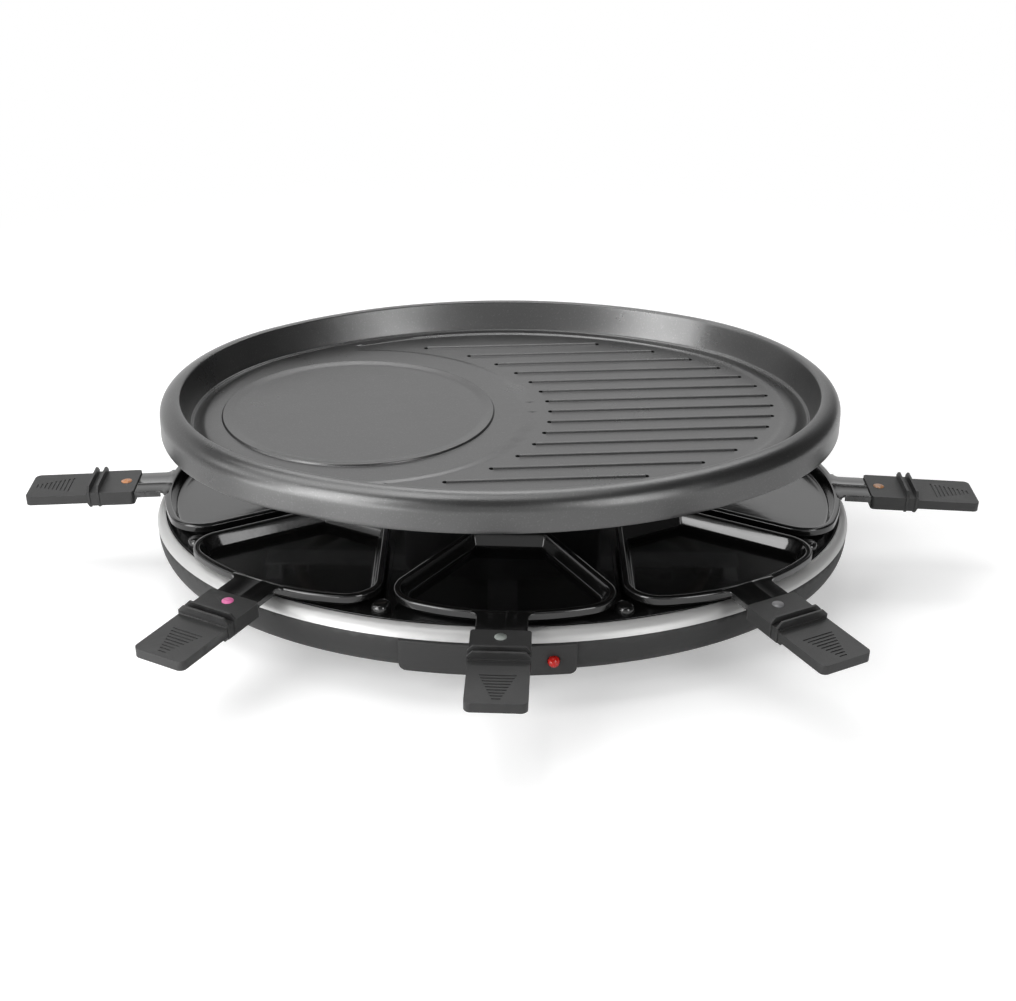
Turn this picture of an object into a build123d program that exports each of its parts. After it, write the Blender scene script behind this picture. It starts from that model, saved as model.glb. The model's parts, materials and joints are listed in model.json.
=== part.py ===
"""Oval table grill for eight raclette pans: cast grill plate over a heating element,
eight slide-out pans on an enamelled tray, and a low base with a front panel and lamp.

Millimetres, +Z up. The grill stands on Z = 0, its long axis lies along X and its
front panel faces -Y. Every sub-part is modelled where it sits in the assembly.
"""

import os
from math import asin, atan2, cos, degrees, radians, sin, sqrt, tan

from build123d import *

os.makedirs("parts", exist_ok=True)

# Fits and plain sizes used all over
unit = 1.0                       # one millimetre
loose_fit = 0.3 * unit           # air between things that move past each other
snug_fit = 0.1 * unit            # air round a piece seated in its recess
sheet = 1.2 * unit               # pressed steel of tray, hub and carrier

# Base shell and its bottom cover
base_edge_oval = (184.5 * unit, 146.4 * unit)    # widest lower edge of the skirt
base_top_oval = (187.0 * unit, 149.6 * unit)     # skirt right under the trim band
base_floor_oval = (164.0 * unit, 126.0 * unit)   # where the skirt meets the underside
base_floor_z = 12.0 * unit
base_edge_z = 22.0 * unit
base_top_z = 36.0 * unit
base_wall = 2.6 * unit
base_opening_oval = (150.0 * unit, 112.0 * unit)
cover_lap = 6.0 * unit
cover_thickness = 1.5 * unit
vent_size = (26.0 * unit, 3.0 * unit)
vent_pitch = 7.0 * unit
vent_rows = 7
vent_reach = 62.0 * unit

# Feet and screws
foot_radius = 10.0 * unit
foot_taper = 1.5 * unit
foot_at = (112.0 * unit, 72.0 * unit)
foot_bore = 3.2 * unit
foot_bore_depth = 5.0 * unit
screw_radius = 1.6 * unit
screw_head_radius = 3.0 * unit
screw_head_height = 1.6 * unit
cover_screw_angles = (18.0, 162.0, 198.0, 342.0)

# Trim band round the top of the base
band_top_oval = (183.8 * unit, 144.2 * unit)
band_mid_oval = (186.6 * unit, 148.5 * unit)
band_bottom_oval = (187.4 * unit, 150.0 * unit)
band_height = 5.2 * unit
band_mid_share = 0.55
band_wall = 1.1 * unit

# Pan tray, and the stop posts on it between the pans
tray_oval = (182.0 * unit, 142.4 * unit)
tray_top_z = 41.5 * unit
tray_hole_oval = (42.0 * unit, 20.0 * unit)
post_oval = (175.5 * unit, 136.5 * unit)
post_angles = (26.3, 70.4)       # measured on the oval, one quarter of it
post_turns = (25.6, 66.0)        # direction each post points in
post_size = (10.0 * unit, 8.6 * unit)
post_height = 5.0 * unit
post_round = 2.2 * unit
post_round_share = 0.45
ground_drop = 0.5 * unit         # sunk ground between the pans
ground_gap = 2.5 * unit
ground_oval = (150.0 * unit, 122.0 * unit)

# Pans: outline of the rim seen from above, in the pan's own frame
pan_length = 88.2 * unit
pan_inner_half = 20.4 * unit
pan_flare = 30.0                 # degrees between each side and the pan's axis
pan_front_radius = 113.0 * unit
pan_corner_radius = 18.0 * unit
pan_inner_radius = 5.0 * unit
pan_front_back = 22.4 * unit     # from the dot on the handle back to the pan's front rim
pan_depth = 8.5 * unit
pan_sheet = 0.9 * unit
pan_flange = 2.6 * unit
pan_draft = 18.0                 # degrees the walls lean outwards
pan_foot_round = 1.6 * unit
rim_thickness = 1.2 * unit
rim_round = 0.5 * unit

# Tongue that joins pan and handle
tongue_width = 24.6 * unit
tongue_thickness = 1.4 * unit
tongue_lap = 3.2 * unit
tongue_side = 3.6 * unit
tongue_drop = 1.0 * unit         # how far the tongue lies under the sleeve's top face
tongue_inside = 13.0 * unit

# Handle: sleeve, finger guard of two fins, paddle with a grip pattern
sleeve_width = 28.6 * unit
sleeve_top_z = 50.0 * unit
sleeve_back = 6.0 * unit         # from the dot back to the sleeve's inner end
sleeve_height = 7.4 * unit
handle_tilt = 2.9                # degrees the handle points down
fin_positions = (13.2 * unit, 18.2 * unit)
fin_thickness = 1.3 * unit
fin_rise = 3.6 * unit
fin_drop = 1.6 * unit
fin_overhang = 0.5 * unit
fin_chamfer = 2.6 * unit
paddle_length = 52.7 * unit      # from the dot out to the tip
paddle_start = 19.4 * unit
paddle_step = 0.9 * unit
paddle_thickness = 4.9 * unit
paddle_corner = 3.2 * unit
sleeve_corner = 1.8 * unit
grip_lines = 9
grip_pitch = 2.3 * unit
grip_start = 30.4 * unit
grip_widths = (17.0 * unit, 4.0 * unit)
grip_line = 0.8 * unit
grip_depth = 0.4 * unit
dot_radius = 2.9 * unit
dot_depth = 0.6 * unit
dot_proud = 0.15 * unit
handle_screw_x = 2.5 * unit

# Where the eight dots sit, with the direction each handle points in
side_dot = (131.5 * unit, 134.7 * unit)
front_dot = (0.0, 167.7 * unit)
end_dot = (205.0 * unit, 0.0)
side_direction = 60.0            # degrees off the long axis
front_slip = (-1.15 * unit, -2.4)                # the front pan lies shifted and turned a little

# Hub, carrier and heating element above the tray
hub_oval = (54.0 * unit, 27.0 * unit)
hub_flange = 6.0 * unit
hub_screw_radius = 1.3 * unit
hub_screw_head = 2.4 * unit
hub_screw_angles = (25.0, 155.0, 205.0, 335.0)
hub_top_z = 80.2 * unit
carrier_thickness = 1.5 * unit
carrier_width = 16.0 * unit
carrier_reach = (131.0 * unit, 93.0 * unit)
carrier_pad = 9.0 * unit
carrier_centre_oval = (46.0 * unit, 21.0 * unit)
element_radius = 3.3 * unit
element_oval = (112.0 * unit, 74.0 * unit)
element_end = (13.6 * unit, 14.0 * unit)
element_pin_radius = 1.5 * unit
element_pin_length = 9.0 * unit
element_drop = 13.0 * unit
clip_width = 8.0 * unit
clip_thickness = 1.0 * unit

# Electrical pieces inside hub and base
ceramic_size = (40.0 * unit, 15.0 * unit)
thermostat_radius = 8.0 * unit
thermostat_height = 9.0 * unit
thermostat_x = 38.0 * unit
fuse_radius = 2.0 * unit
fuse_length = 12.0 * unit
terminal_size = (30.0 * unit, 16.0 * unit, 12.0 * unit)
terminal_y = 96.0 * unit
wire_radius = 1.2 * unit
wire_bend = 18.0 * unit
lamp_wire_radius = 0.55 * unit
lamp_wire_bend = 60.0 * unit
lamp_wire_turns = (-10.0 * unit, -95.0 * unit)
inlet_radius = 5.0 * unit
inlet_collar = 6.4 * unit
inlet_collar_length = 2.5 * unit
inlet_bore = 3.6 * unit          # socket for the cord, as deep as the inlet stands out
inlet_core = 2.8 * unit          # narrower way on into the base
inlet_z = 27.0 * unit
inlet_reach = 8.0 * unit
inlet_inside = 12.0 * unit

# Front panel and pilot lamp
panel_x = (-50.0 * unit, 35.6 * unit)
panel_bottom_z = 17.5 * unit
panel_top_z = 35.6 * unit
panel_proud = 2.4 * unit
panel_corner = 3.4 * unit        # lower two corners
lamp_x = 24.3 * unit
lamp_z = 25.8 * unit
lens_radius = 2.9 * unit
lens_flange = 3.8 * unit
lens_reach = 1.6 * unit
lamp_body_radius = 4.4 * unit
lamp_body_length = 20.0 * unit

# Grill plate
plate_turn = 5.0                 # degrees the plate lies turned on its rests
plate_centre_x = -0.9 * unit
plate_oval = (180.0 * unit, 142.3 * unit)        # upright outer wall, drawn with four arcs
plate_end_radius = 125.0 * unit                  # radius of the arcs at the two ends
plate_bottom_z = 90.1 * unit     # lower edge of the outer wall
plate_shoulder_z = 100.0 * unit  # where the outer wall starts to round over
rim_top_z = 108.4 * unit
rim_width = 10.6 * unit          # from the outer wall in to the basin's upper edge
rim_lip_round = 1.3 * unit
basin_lean = 4.9 * unit          # how far the basin's wall leans in on its way down
channel_z = 92.2 * unit          # bottom of the drip channel
channel_width = 2.0 * unit
channel_bank = 5.0 * unit        # sloping inner side of the channel
plate_floor_z = 95.2 * unit      # cooking surface
plate_under_z = 90.2 * unit      # flat underside that rests on the carrier
plate_wall = 3.2 * unit
crepe_centre_x = -76.3 * unit
crepe_radius = 65.2 * unit
bead_width = 7.0 * unit          # raised bead round the pancake disc
bead_height = 0.8 * unit
bead_outer_slope = 1.2 * unit
bead_inner_slope = 5.2 * unit
rib_zone_radius = 91.0 * unit
rib_zone_gap = 1.5 * unit
rib_start_radius = 100.0 * unit
rib_zone_drop = 0.6 * unit
rib_count = 14
rib_pitch = 14.2 * unit
rib_width = 3.4 * unit
rib_height = 1.6 * unit
rib_taper = 32.0                 # degrees
rib_end_oval = (146.9 * unit, 103.0 * unit)
dimple_radius = 1.5 * unit       # small pit at both ends of each rib
dimple_depth = 0.5 * unit


def grow(oval, amount):
    """The same oval with both half axes longer by the amount."""
    return (oval[0] + amount, oval[1] + amount)


def oval_point(oval, angle):
    """A point on the oval at an angle given in degrees."""
    return (oval[0] * cos(radians(angle)), oval[1] * sin(radians(angle)))


def oval_stack(levels, mode=Mode.ADD):
    """A smooth solid through ovals given as (height, oval), lowest first."""
    outlines = []
    for height, oval in levels:
        with BuildSketch(Plane.XY.offset(height)) as outline:
            Ellipse(oval[0], oval[1])
        outlines.append(outline.sketch)
    loft(outlines, mode=mode)


def oval_slab(oval, low, high, mode=Mode.ADD):
    """A straight oval slab between two heights."""
    with BuildSketch(Plane.XY.offset(low)) as outline:
        Ellipse(oval[0], oval[1])
    extrude(outline.sketch, amount=high - low, mode=mode)


def save(builder, name):
    """Label one finished sub-part and write it as a STEP file."""
    builder.part.label = name
    export_step(builder.part, f"parts/{name}.step")


# Base shell

def base_levels(change):
    """The skirt's outline from its underside up to the trim band."""
    return (
        (base_floor_z + max(-change, 0.0), grow(base_floor_oval, change)),
        (base_edge_z, grow(base_edge_oval, change)),
        (base_top_z, grow(base_top_oval, change)),
    )


with BuildPart() as base_shell:
    oval_stack(base_levels(0.0))
    oval_stack(base_levels(-base_wall), Mode.SUBTRACT)
    oval_slab(base_opening_oval, base_floor_z, base_floor_z + 2 * base_wall, Mode.SUBTRACT)
    # Ring inside the rim that carries the tray
    oval_slab(grow(base_top_oval, -base_wall / 2), base_top_z - 2 * base_wall, base_top_z)
    oval_slab(grow(tray_oval, -snug_fit), base_top_z, tray_top_z - sheet)
    oval_slab(grow(tray_oval, -2 * base_wall), base_top_z - 2 * base_wall, tray_top_z, Mode.SUBTRACT)
    # Hole for the lamp through the front and for the cord inlet through the back
    with Locations(Plane(origin=(lamp_x, -base_edge_oval[1], lamp_z), z_dir=(0, -1, 0))):
        Cylinder(lamp_body_radius + snug_fit, 6 * base_wall, mode=Mode.SUBTRACT)
    with Locations(Plane(origin=(0, base_edge_oval[1], inlet_z), z_dir=(0, 1, 0))):
        Cylinder(inlet_radius + snug_fit, 8 * base_wall, mode=Mode.SUBTRACT)
    # Pilot holes for the cover screws
    with Locations(*[oval_point(grow(base_opening_oval, cover_lap / 2), a) for a in cover_screw_angles]):
        with Locations((0, 0, base_floor_z + base_wall / 2)):
            Cylinder(screw_radius, 2 * base_wall, mode=Mode.SUBTRACT)
save(base_shell, "base_shell")

# Bottom cover with rows of vents
cover_low_z = base_floor_z - cover_thickness
with BuildPart() as bottom_cover:
    oval_slab(grow(base_opening_oval, cover_lap), cover_low_z, base_floor_z)
    with BuildSketch(Plane.XY.offset(cover_low_z)):
        with Locations((-vent_reach, 0), (vent_reach, 0)):
            with GridLocations(vent_size[0], vent_pitch, 1, vent_rows):
                SlotOverall(vent_size[0], vent_size[1])
    extrude(amount=cover_thickness, mode=Mode.SUBTRACT)
    with Locations(*[oval_point(grow(base_opening_oval, cover_lap / 2), a) for a in cover_screw_angles]):
        with Locations((0, 0, base_floor_z)):
            Cylinder(screw_radius + snug_fit, 4 * cover_thickness, mode=Mode.SUBTRACT)
save(bottom_cover, "bottom_cover")

with BuildPart() as cover_screws:
    with Locations(*[oval_point(grow(base_opening_oval, cover_lap / 2), a) for a in cover_screw_angles]):
        with Locations((0, 0, cover_low_z)):
            Cylinder(screw_head_radius, screw_head_height, align=(Align.CENTER, Align.CENTER, Align.MAX))
            Cylinder(screw_radius - snug_fit / 2, cover_thickness + base_wall,
                     align=(Align.CENTER, Align.CENTER, Align.MIN))
    with Locations(*[oval_point(grow(base_opening_oval, cover_lap / 2), a) for a in cover_screw_angles]):
        with Locations((0, 0, cover_low_z - screw_head_height)):
            Box(screw_head_radius, screw_radius / 2, screw_head_height, mode=Mode.SUBTRACT)
save(cover_screws, "cover_screws")

# Four rubber feet under the cover
foot_names = ("foot_front_left", "foot_front_right", "foot_rear_left", "foot_rear_right")
foot_signs = ((-1, -1), (1, -1), (-1, 1), (1, 1))
for name, (side, depth) in zip(foot_names, foot_signs):
    with BuildPart(Plane(origin=(side * foot_at[0], depth * foot_at[1], 0))) as foot:
        Cone(foot_radius - foot_taper, foot_radius, cover_low_z,
             align=(Align.CENTER, Align.CENTER, Align.MIN))
        fillet(foot.edges().group_by(Axis.Z)[0], foot_taper)
        Cylinder(foot_bore, foot_bore_depth, align=(Align.CENTER, Align.CENTER, Align.MIN),
                 mode=Mode.SUBTRACT)
    save(foot, name)

# Trim band: a thin sloping ring over the joint of base and tray
band_top_z = base_top_z + band_height


def band_levels(change):
    """The band's outline from its lower to its upper edge."""
    return (
        (base_top_z, grow(band_bottom_oval, change)),
        (base_top_z + band_mid_share * band_height, grow(band_mid_oval, change)),
        (band_top_z, grow(band_top_oval, change)),
    )


with BuildPart() as trim_band:
    oval_stack(band_levels(0.0))
    oval_stack(band_levels(-band_wall), Mode.SUBTRACT)
save(trim_band, "trim_band")

# Pan tray
pan_places = {
    "front": (front_dot[0] + front_slip[0], -front_dot[1], -90.0 + front_slip[1]),
    "front_right": (side_dot[0], -side_dot[1], -side_direction),
    "right": (end_dot[0], end_dot[1], 0.0),
    "rear_right": (side_dot[0], side_dot[1], side_direction),
    "rear": (front_dot[0], front_dot[1], 90.0),
    "rear_left": (-side_dot[0], side_dot[1], 180.0 - side_direction),
    "left": (-end_dot[0], end_dot[1], 180.0),
    "front_left": (-side_dot[0], -side_dot[1], side_direction - 180.0),
}
pan_back = pan_front_back + pan_length
tray_under_z = tray_top_z - sheet


def outward(angle, tilt=0.0):
    """Unit direction out from the grill, turned down by the tilt."""
    flat = cos(radians(tilt))
    return (cos(radians(angle)) * flat, sin(radians(angle)) * flat, -sin(radians(tilt)))


def grip_plane(place):
    """Plane on top of the handle's sleeve, tilted with the handle."""
    x, y, angle = place
    up = outward(angle, handle_tilt - 90)
    return Plane(origin=(x, y, sleeve_top_z), x_dir=outward(angle, handle_tilt), z_dir=up)


def pan_corner():
    """Where the pan's side line meets its front arc, before rounding."""
    slope = tan(radians(pan_flare))
    centre = pan_length - pan_front_radius
    square = 1 + slope ** 2
    half = pan_inner_half * slope - centre
    rest = centre ** 2 + pan_inner_half ** 2 - pan_front_radius ** 2
    along = (-half + sqrt(half ** 2 - square * rest)) / square
    return (along - pan_back, pan_inner_half + along * slope)


# One flat rim outline, made once in its own frame and placed for every pan
far_corner = pan_corner()
with BuildSketch() as rim_outline:
    with BuildLine():
        Line((-pan_back, -pan_inner_half), (-pan_back, pan_inner_half))
        Line((-pan_back, pan_inner_half), far_corner)
        ThreePointArc(far_corner, (-pan_front_back, 0), (far_corner[0], -far_corner[1]))
        Line((far_corner[0], -far_corner[1]), (-pan_back, -pan_inner_half))
    make_face()
    fillet(rim_outline.vertices().sort_by(Axis.X)[-2:], pan_corner_radius)
    fillet(rim_outline.vertices().sort_by(Axis.X)[:2], pan_inner_radius)

hub_screw_spots = [oval_point(grow(hub_oval, hub_flange / 2), angle) for angle in hub_screw_angles]
with BuildPart() as pan_tray:
    oval_slab(tray_oval, tray_under_z, tray_top_z)
    # Sunk ground between the pans
    with BuildSketch(Plane.XY.offset(tray_top_z)):
        Ellipse(ground_oval[0], ground_oval[1])
        around = grow(hub_oval, hub_flange + ground_gap)
        Ellipse(around[0], around[1], mode=Mode.SUBTRACT)
        cleared = offset(rim_outline.sketch, amount=ground_gap, mode=Mode.PRIVATE)
        for place in pan_places.values():
            with Locations(Location((place[0], place[1]), place[2])):
                add(cleared, mode=Mode.SUBTRACT)
    extrude(amount=-ground_drop, mode=Mode.SUBTRACT)
    oval_slab(tray_hole_oval, tray_under_z, tray_top_z, Mode.SUBTRACT)
    with Locations(*hub_screw_spots):
        with Locations((0, 0, tray_top_z)):
            Cylinder(hub_screw_radius, 4 * sheet, mode=Mode.SUBTRACT)
save(pan_tray, "pan_tray")

# Rounded stop posts near the tray's edge, one between each pair of pans
with BuildPart() as pan_stops:
    for angle, turn in zip(post_angles, post_turns):
        x, y = oval_point(post_oval, angle)
        quarters = ((1, 1, turn), (-1, 1, 180 - turn), (-1, -1, 180 + turn), (1, -1, -turn))
        for side, depth, heading in quarters:
            with BuildSketch(Plane.XY.offset(tray_top_z)):
                with Locations(Location((side * x, depth * y), heading)):
                    RectangleRounded(post_size[0], post_size[1], post_size[1] * post_round_share)
            post = extrude(amount=post_height)
            fillet(post.edges().group_by(Axis.Z)[-1], post_round)
save(pan_stops, "pan_stops")

# Hub: pressed oval column with a foot flange and a closed top
with BuildPart() as hub:
    oval_slab(grow(hub_oval, hub_flange), tray_top_z, tray_top_z + sheet)
    oval_slab(hub_oval, tray_top_z, hub_top_z)
    oval_slab(grow(hub_oval, -sheet), tray_top_z, hub_top_z - sheet, Mode.SUBTRACT)
    with Locations((-element_end[0], element_end[1], hub_top_z), (element_end[0], element_end[1], hub_top_z)):
        Cylinder(element_radius + loose_fit, 4 * sheet, mode=Mode.SUBTRACT)
    with Locations((0, -element_end[1], hub_top_z)):
        Cylinder(screw_radius, 4 * sheet, mode=Mode.SUBTRACT)
    with Locations(*hub_screw_spots):
        with Locations((0, 0, tray_top_z + sheet)):
            Cylinder(hub_screw_radius + snug_fit, 2 * sheet, mode=Mode.SUBTRACT)
save(hub, "hub")

# Four screws through the hub's flange into the tray
with BuildPart() as hub_screws:
    with Locations(*hub_screw_spots):
        with Locations((0, 0, tray_top_z + sheet)):
            Cylinder(hub_screw_head, screw_head_height, align=(Align.CENTER, Align.CENTER, Align.MIN))
            Cylinder(hub_screw_radius - snug_fit / 2, 4 * sheet,
                     align=(Align.CENTER, Align.CENTER, Align.MAX))
        with Locations((0, 0, tray_top_z + sheet + screw_head_height)):
            Box(2 * hub_screw_head, screw_radius / 2, screw_head_height, mode=Mode.SUBTRACT)
save(hub_screws, "hub_screws")

# Carrier: cross of four strips on the hub, turned up at the ends into plate rests
carrier_top_z = hub_top_z + carrier_thickness
with BuildPart() as plate_carrier:
    with BuildSketch(Plane.XY.offset(hub_top_z)):
        Ellipse(carrier_centre_oval[0], carrier_centre_oval[1])
        Rectangle(2 * carrier_reach[0], carrier_width)
        Rectangle(carrier_width, 2 * carrier_reach[1])
        with Locations((-element_end[0], element_end[1]), (element_end[0], element_end[1])):
            Circle(element_radius + loose_fit, mode=Mode.SUBTRACT)
        with Locations((0, -element_end[1])):
            Circle(screw_radius + snug_fit, mode=Mode.SUBTRACT)
    extrude(amount=carrier_thickness)
    rests = (
        (carrier_reach[0] - carrier_pad / 2, 0, carrier_pad, carrier_width),
        (-carrier_reach[0] + carrier_pad / 2, 0, carrier_pad, carrier_width),
        (0, carrier_reach[1] - carrier_pad / 2, carrier_width, carrier_pad),
        (0, -carrier_reach[1] + carrier_pad / 2, carrier_width, carrier_pad),
    )
    for x, y, along, across in rests:
        with Locations((x, y, plate_under_z - carrier_thickness)):
            Box(along, across, carrier_thickness, align=(Align.CENTER, Align.CENTER, Align.MIN))
        foot_x = x - (carrier_pad - carrier_thickness) / 2 * (1 if x > 0 else -1 if x < 0 else 0)
        foot_y = y - (carrier_pad - carrier_thickness) / 2 * (1 if y > 0 else -1 if y < 0 else 0)
        leg = (carrier_thickness if x else along, carrier_thickness if y else across)
        with Locations((foot_x, foot_y, hub_top_z)):
            Box(leg[0], leg[1], plate_under_z - hub_top_z, align=(Align.CENTER, Align.CENTER, Align.MIN))
save(plate_carrier, "plate_carrier")

with BuildPart() as carrier_screw:
    with Locations((0, -element_end[1], carrier_top_z)):
        Cylinder(screw_head_radius, screw_head_height, align=(Align.CENTER, Align.CENTER, Align.MIN))
        Cylinder(screw_radius - snug_fit / 2, carrier_thickness + 2 * sheet,
                 align=(Align.CENTER, Align.CENTER, Align.MAX))
    with Locations((0, -element_end[1], carrier_top_z + screw_head_height)):
        Box(2 * screw_head_radius, screw_radius / 2, screw_head_height, mode=Mode.SUBTRACT)
save(carrier_screw, "carrier_screw")

# Heating element: one oval loop whose two ends dive through the hub
element_z = carrier_top_z + element_radius
loop_gap = degrees(asin(element_end[0] / element_oval[0]))
loop_y = element_oval[1] * cos(radians(loop_gap))
with BuildPart() as heating_element:
    with BuildLine(Plane.XY.offset(element_z)):
        EllipticalCenterArc((0, 0), element_oval[0], element_oval[1],
                            start_angle=90 + loop_gap, arc_size=360 - 2 * loop_gap)
    start = Plane(origin=(-element_end[0], loop_y, element_z), z_dir=(1, 0, 0))
    with BuildSketch(start):
        Circle(element_radius)
    sweep()
    for side in (-1, 1):
        end_x = side * element_end[0]
        with Locations((end_x, loop_y, element_z), (end_x, element_end[1], element_z)):
            Sphere(element_radius)
        with BuildSketch(Plane(origin=(end_x, element_end[1], element_z), z_dir=(0, 1, 0))):
            Circle(element_radius)
        extrude(amount=loop_y - element_end[1])
        with BuildSketch(Plane(origin=(end_x, element_end[1], element_z), z_dir=(0, 0, -1))):
            Circle(element_radius)
        extrude(amount=element_drop)
        pin_start = (end_x, element_end[1], element_z - element_drop)
        with BuildSketch(Plane(origin=pin_start, z_dir=(0, 0, -1))):
            Circle(element_pin_radius)
        extrude(amount=element_pin_length)
save(heating_element, "heating_element")

# Three saddle clips that hold the element down on the carrier's strips
clip_spots = (
    (element_oval[0], 0, 0.0), (-element_oval[0], 0, 0.0), (0, -element_oval[1], 90.0),
)
with BuildPart() as element_clips:
    for x, y, turn in clip_spots:
        across = Plane(origin=(x, y, carrier_top_z), x_dir=(cos(radians(turn)), sin(radians(turn)), 0),
                       z_dir=(sin(radians(turn)), -cos(radians(turn)), 0))
        arch = element_radius + loose_fit + clip_thickness
        with BuildSketch(across):
            with Locations((0, element_radius)):
                Circle(arch)
            with Locations((0, element_radius / 2)):
                Rectangle(2 * arch, element_radius)
            with Locations((0, clip_thickness / 2)):
                Rectangle(2 * arch + clip_width, clip_thickness)
            with Locations((0, element_radius)):
                Circle(element_radius + loose_fit, mode=Mode.SUBTRACT)
            with Locations((0, element_radius / 2)):
                Rectangle(2 * element_radius + 2 * loose_fit, element_radius, mode=Mode.SUBTRACT)
            with Locations((0, -arch)):
                Rectangle(4 * arch, 2 * arch, mode=Mode.SUBTRACT)
        extrude(amount=clip_width / 2, both=True)
save(element_clips, "element_clips")

# Electrical pieces inside the hub and the base
pin_low_z = element_z - element_drop - element_pin_length
ceramic_height = hub_top_z - sheet - pin_low_z
with BuildPart() as ceramic_block:
    with Locations((0, element_end[1], pin_low_z)):
        Box(ceramic_size[0], ceramic_size[1], ceramic_height,
            align=(Align.CENTER, Align.CENTER, Align.MIN))
    fillet(ceramic_block.edges().filter_by(Axis.Z), screw_radius)
    with Locations((-element_end[0], element_end[1], pin_low_z),
                   (element_end[0], element_end[1], pin_low_z)):
        Cylinder(element_pin_radius + snug_fit, 3 * ceramic_height, mode=Mode.SUBTRACT)
    with Locations((-element_end[0], element_end[1], element_z - element_drop),
                   (element_end[0], element_end[1], element_z - element_drop)):
        Cylinder(element_radius + snug_fit, ceramic_height, align=(Align.CENTER, Align.CENTER, Align.MIN),
                 mode=Mode.SUBTRACT)
save(ceramic_block, "ceramic_block")

with BuildPart() as thermostat:
    with Locations((thermostat_x, 0, hub_top_z - sheet)):
        Cylinder(thermostat_radius, thermostat_height, align=(Align.CENTER, Align.CENTER, Align.MAX))
    fillet(thermostat.edges().group_by(Axis.Z)[0], clip_thickness)
    with Locations((thermostat_x - thermostat_radius / 2, 0, hub_top_z - sheet - thermostat_height),
                   (thermostat_x + thermostat_radius / 2, 0, hub_top_z - sheet - thermostat_height)):
        Box(clip_thickness, 4 * clip_thickness, 6 * clip_thickness,
            align=(Align.CENTER, Align.CENTER, Align.MAX))
save(thermostat, "thermostat")

with BuildPart() as thermal_fuse:
    with Locations(Plane(origin=(-thermostat_x, 0, hub_top_z - sheet - fuse_radius), z_dir=(0, 1, 0))):
        Cylinder(fuse_radius, fuse_length)
        Cylinder(fuse_radius / 4, fuse_length + 4 * fuse_radius)
save(thermal_fuse, "thermal_fuse")

# Terminal block and cord inlet at the back of the base
block_top_z = base_floor_z + terminal_size[2]
with BuildPart() as terminal_block:
    with Locations((0, terminal_y, base_floor_z)):
        Box(terminal_size[0], terminal_size[1], terminal_size[2],
            align=(Align.CENTER, Align.CENTER, Align.MIN))
    with Locations((0, terminal_y, block_top_z)):
        with GridLocations(terminal_size[0] / 3, 0, 3, 1):
            Cylinder(screw_radius, terminal_size[2] / 2, mode=Mode.SUBTRACT)
    with Locations((0, terminal_y, base_floor_z + terminal_size[2] / 2)):
        with GridLocations(terminal_size[0] / 3, 0, 3, 1):
            Box(2 * wire_radius + 2 * snug_fit, 2 * terminal_size[1], 2 * wire_radius + 2 * snug_fit,
                mode=Mode.SUBTRACT)
save(terminal_block, "terminal_block")

inlet_wall_y = base_top_oval[1] + loose_fit
with BuildPart() as cord_inlet:
    with Locations(Plane(origin=(0, inlet_wall_y, inlet_z), z_dir=(0, 1, 0))):
        Cylinder(inlet_radius, inlet_inside, align=(Align.CENTER, Align.CENTER, Align.MAX))
        Cylinder(inlet_radius, inlet_reach, align=(Align.CENTER, Align.CENTER, Align.MIN))
        Cylinder(inlet_collar, inlet_collar_length, align=(Align.CENTER, Align.CENTER, Align.MIN))
        Cylinder(inlet_bore, inlet_reach, align=(Align.CENTER, Align.CENTER, Align.MIN), mode=Mode.SUBTRACT)
        Cylinder(inlet_core, 4 * inlet_inside, mode=Mode.SUBTRACT)
    fillet(cord_inlet.faces().sort_by(Axis.Y)[-1].outer_wire().edges(), clip_thickness / 2)
save(cord_inlet, "cord_inlet")

# Two wires from the terminal block through the hub to the element's pins
wire_z = base_floor_z + terminal_size[2] / 2
wire_start_y = terminal_y - terminal_size[1] / 2 + wire_radius
with BuildPart() as hub_wires:
    for side in (-1, 1):
        pin = (side * element_end[0], element_end[1])
        with BuildLine():
            run = FilletPolyline(
                (side * terminal_size[0] / 3, wire_start_y, wire_z),
                (pin[0], pin[1], wire_z),
                (pin[0], pin[1], pin_low_z),
                radius=wire_bend,
            )
        with BuildSketch(Plane(origin=run @ 0, z_dir=run % 0)):
            Circle(wire_radius)
        sweep()
save(hub_wires, "hub_wires")

# Front panel: a raised shield that follows the skirt's curve, upright where the skirt leans in
panel_mid = (panel_x[0] + panel_x[1]) / 2
panel_mid_z = (panel_bottom_z + panel_top_z) / 2
panel_edge_oval = grow(base_edge_oval, panel_proud)
with BuildPart() as control_panel:
    oval_stack((
        (base_floor_z, panel_edge_oval),
        (base_edge_z, panel_edge_oval),
        (base_top_z, grow(base_top_oval, panel_proud)),
    ))
    with BuildSketch(Plane(origin=(panel_mid, 0, panel_mid_z), x_dir=(1, 0, 0), z_dir=(0, -1, 0))):
        shield = Rectangle(panel_x[1] - panel_x[0], panel_top_z - panel_bottom_z)
        fillet(shield.vertices().group_by(Axis.Y)[0], panel_corner)
    extrude(amount=2 * base_top_oval[1], mode=Mode.INTERSECT)
    oval_stack(base_levels(0.0), Mode.SUBTRACT)
    with Locations(Plane(origin=(lamp_x, -base_edge_oval[1], lamp_z), z_dir=(0, -1, 0))):
        Cylinder(lens_radius + snug_fit, 8 * panel_proud, mode=Mode.SUBTRACT)
save(control_panel, "control_panel")

# Pilot lamp behind the panel, its lens standing out of it
lamp_front_y = -base_edge_oval[1] + base_wall
with BuildPart() as lamp_body:
    with Locations(Plane(origin=(lamp_x, lamp_front_y, lamp_z), z_dir=(0, 1, 0))):
        Cylinder(lamp_body_radius, lamp_body_length, align=(Align.CENTER, Align.CENTER, Align.MIN))
    fillet(lamp_body.faces().sort_by(Axis.Y)[-1].edges(), clip_thickness)
save(lamp_body, "lamp_body")

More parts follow.
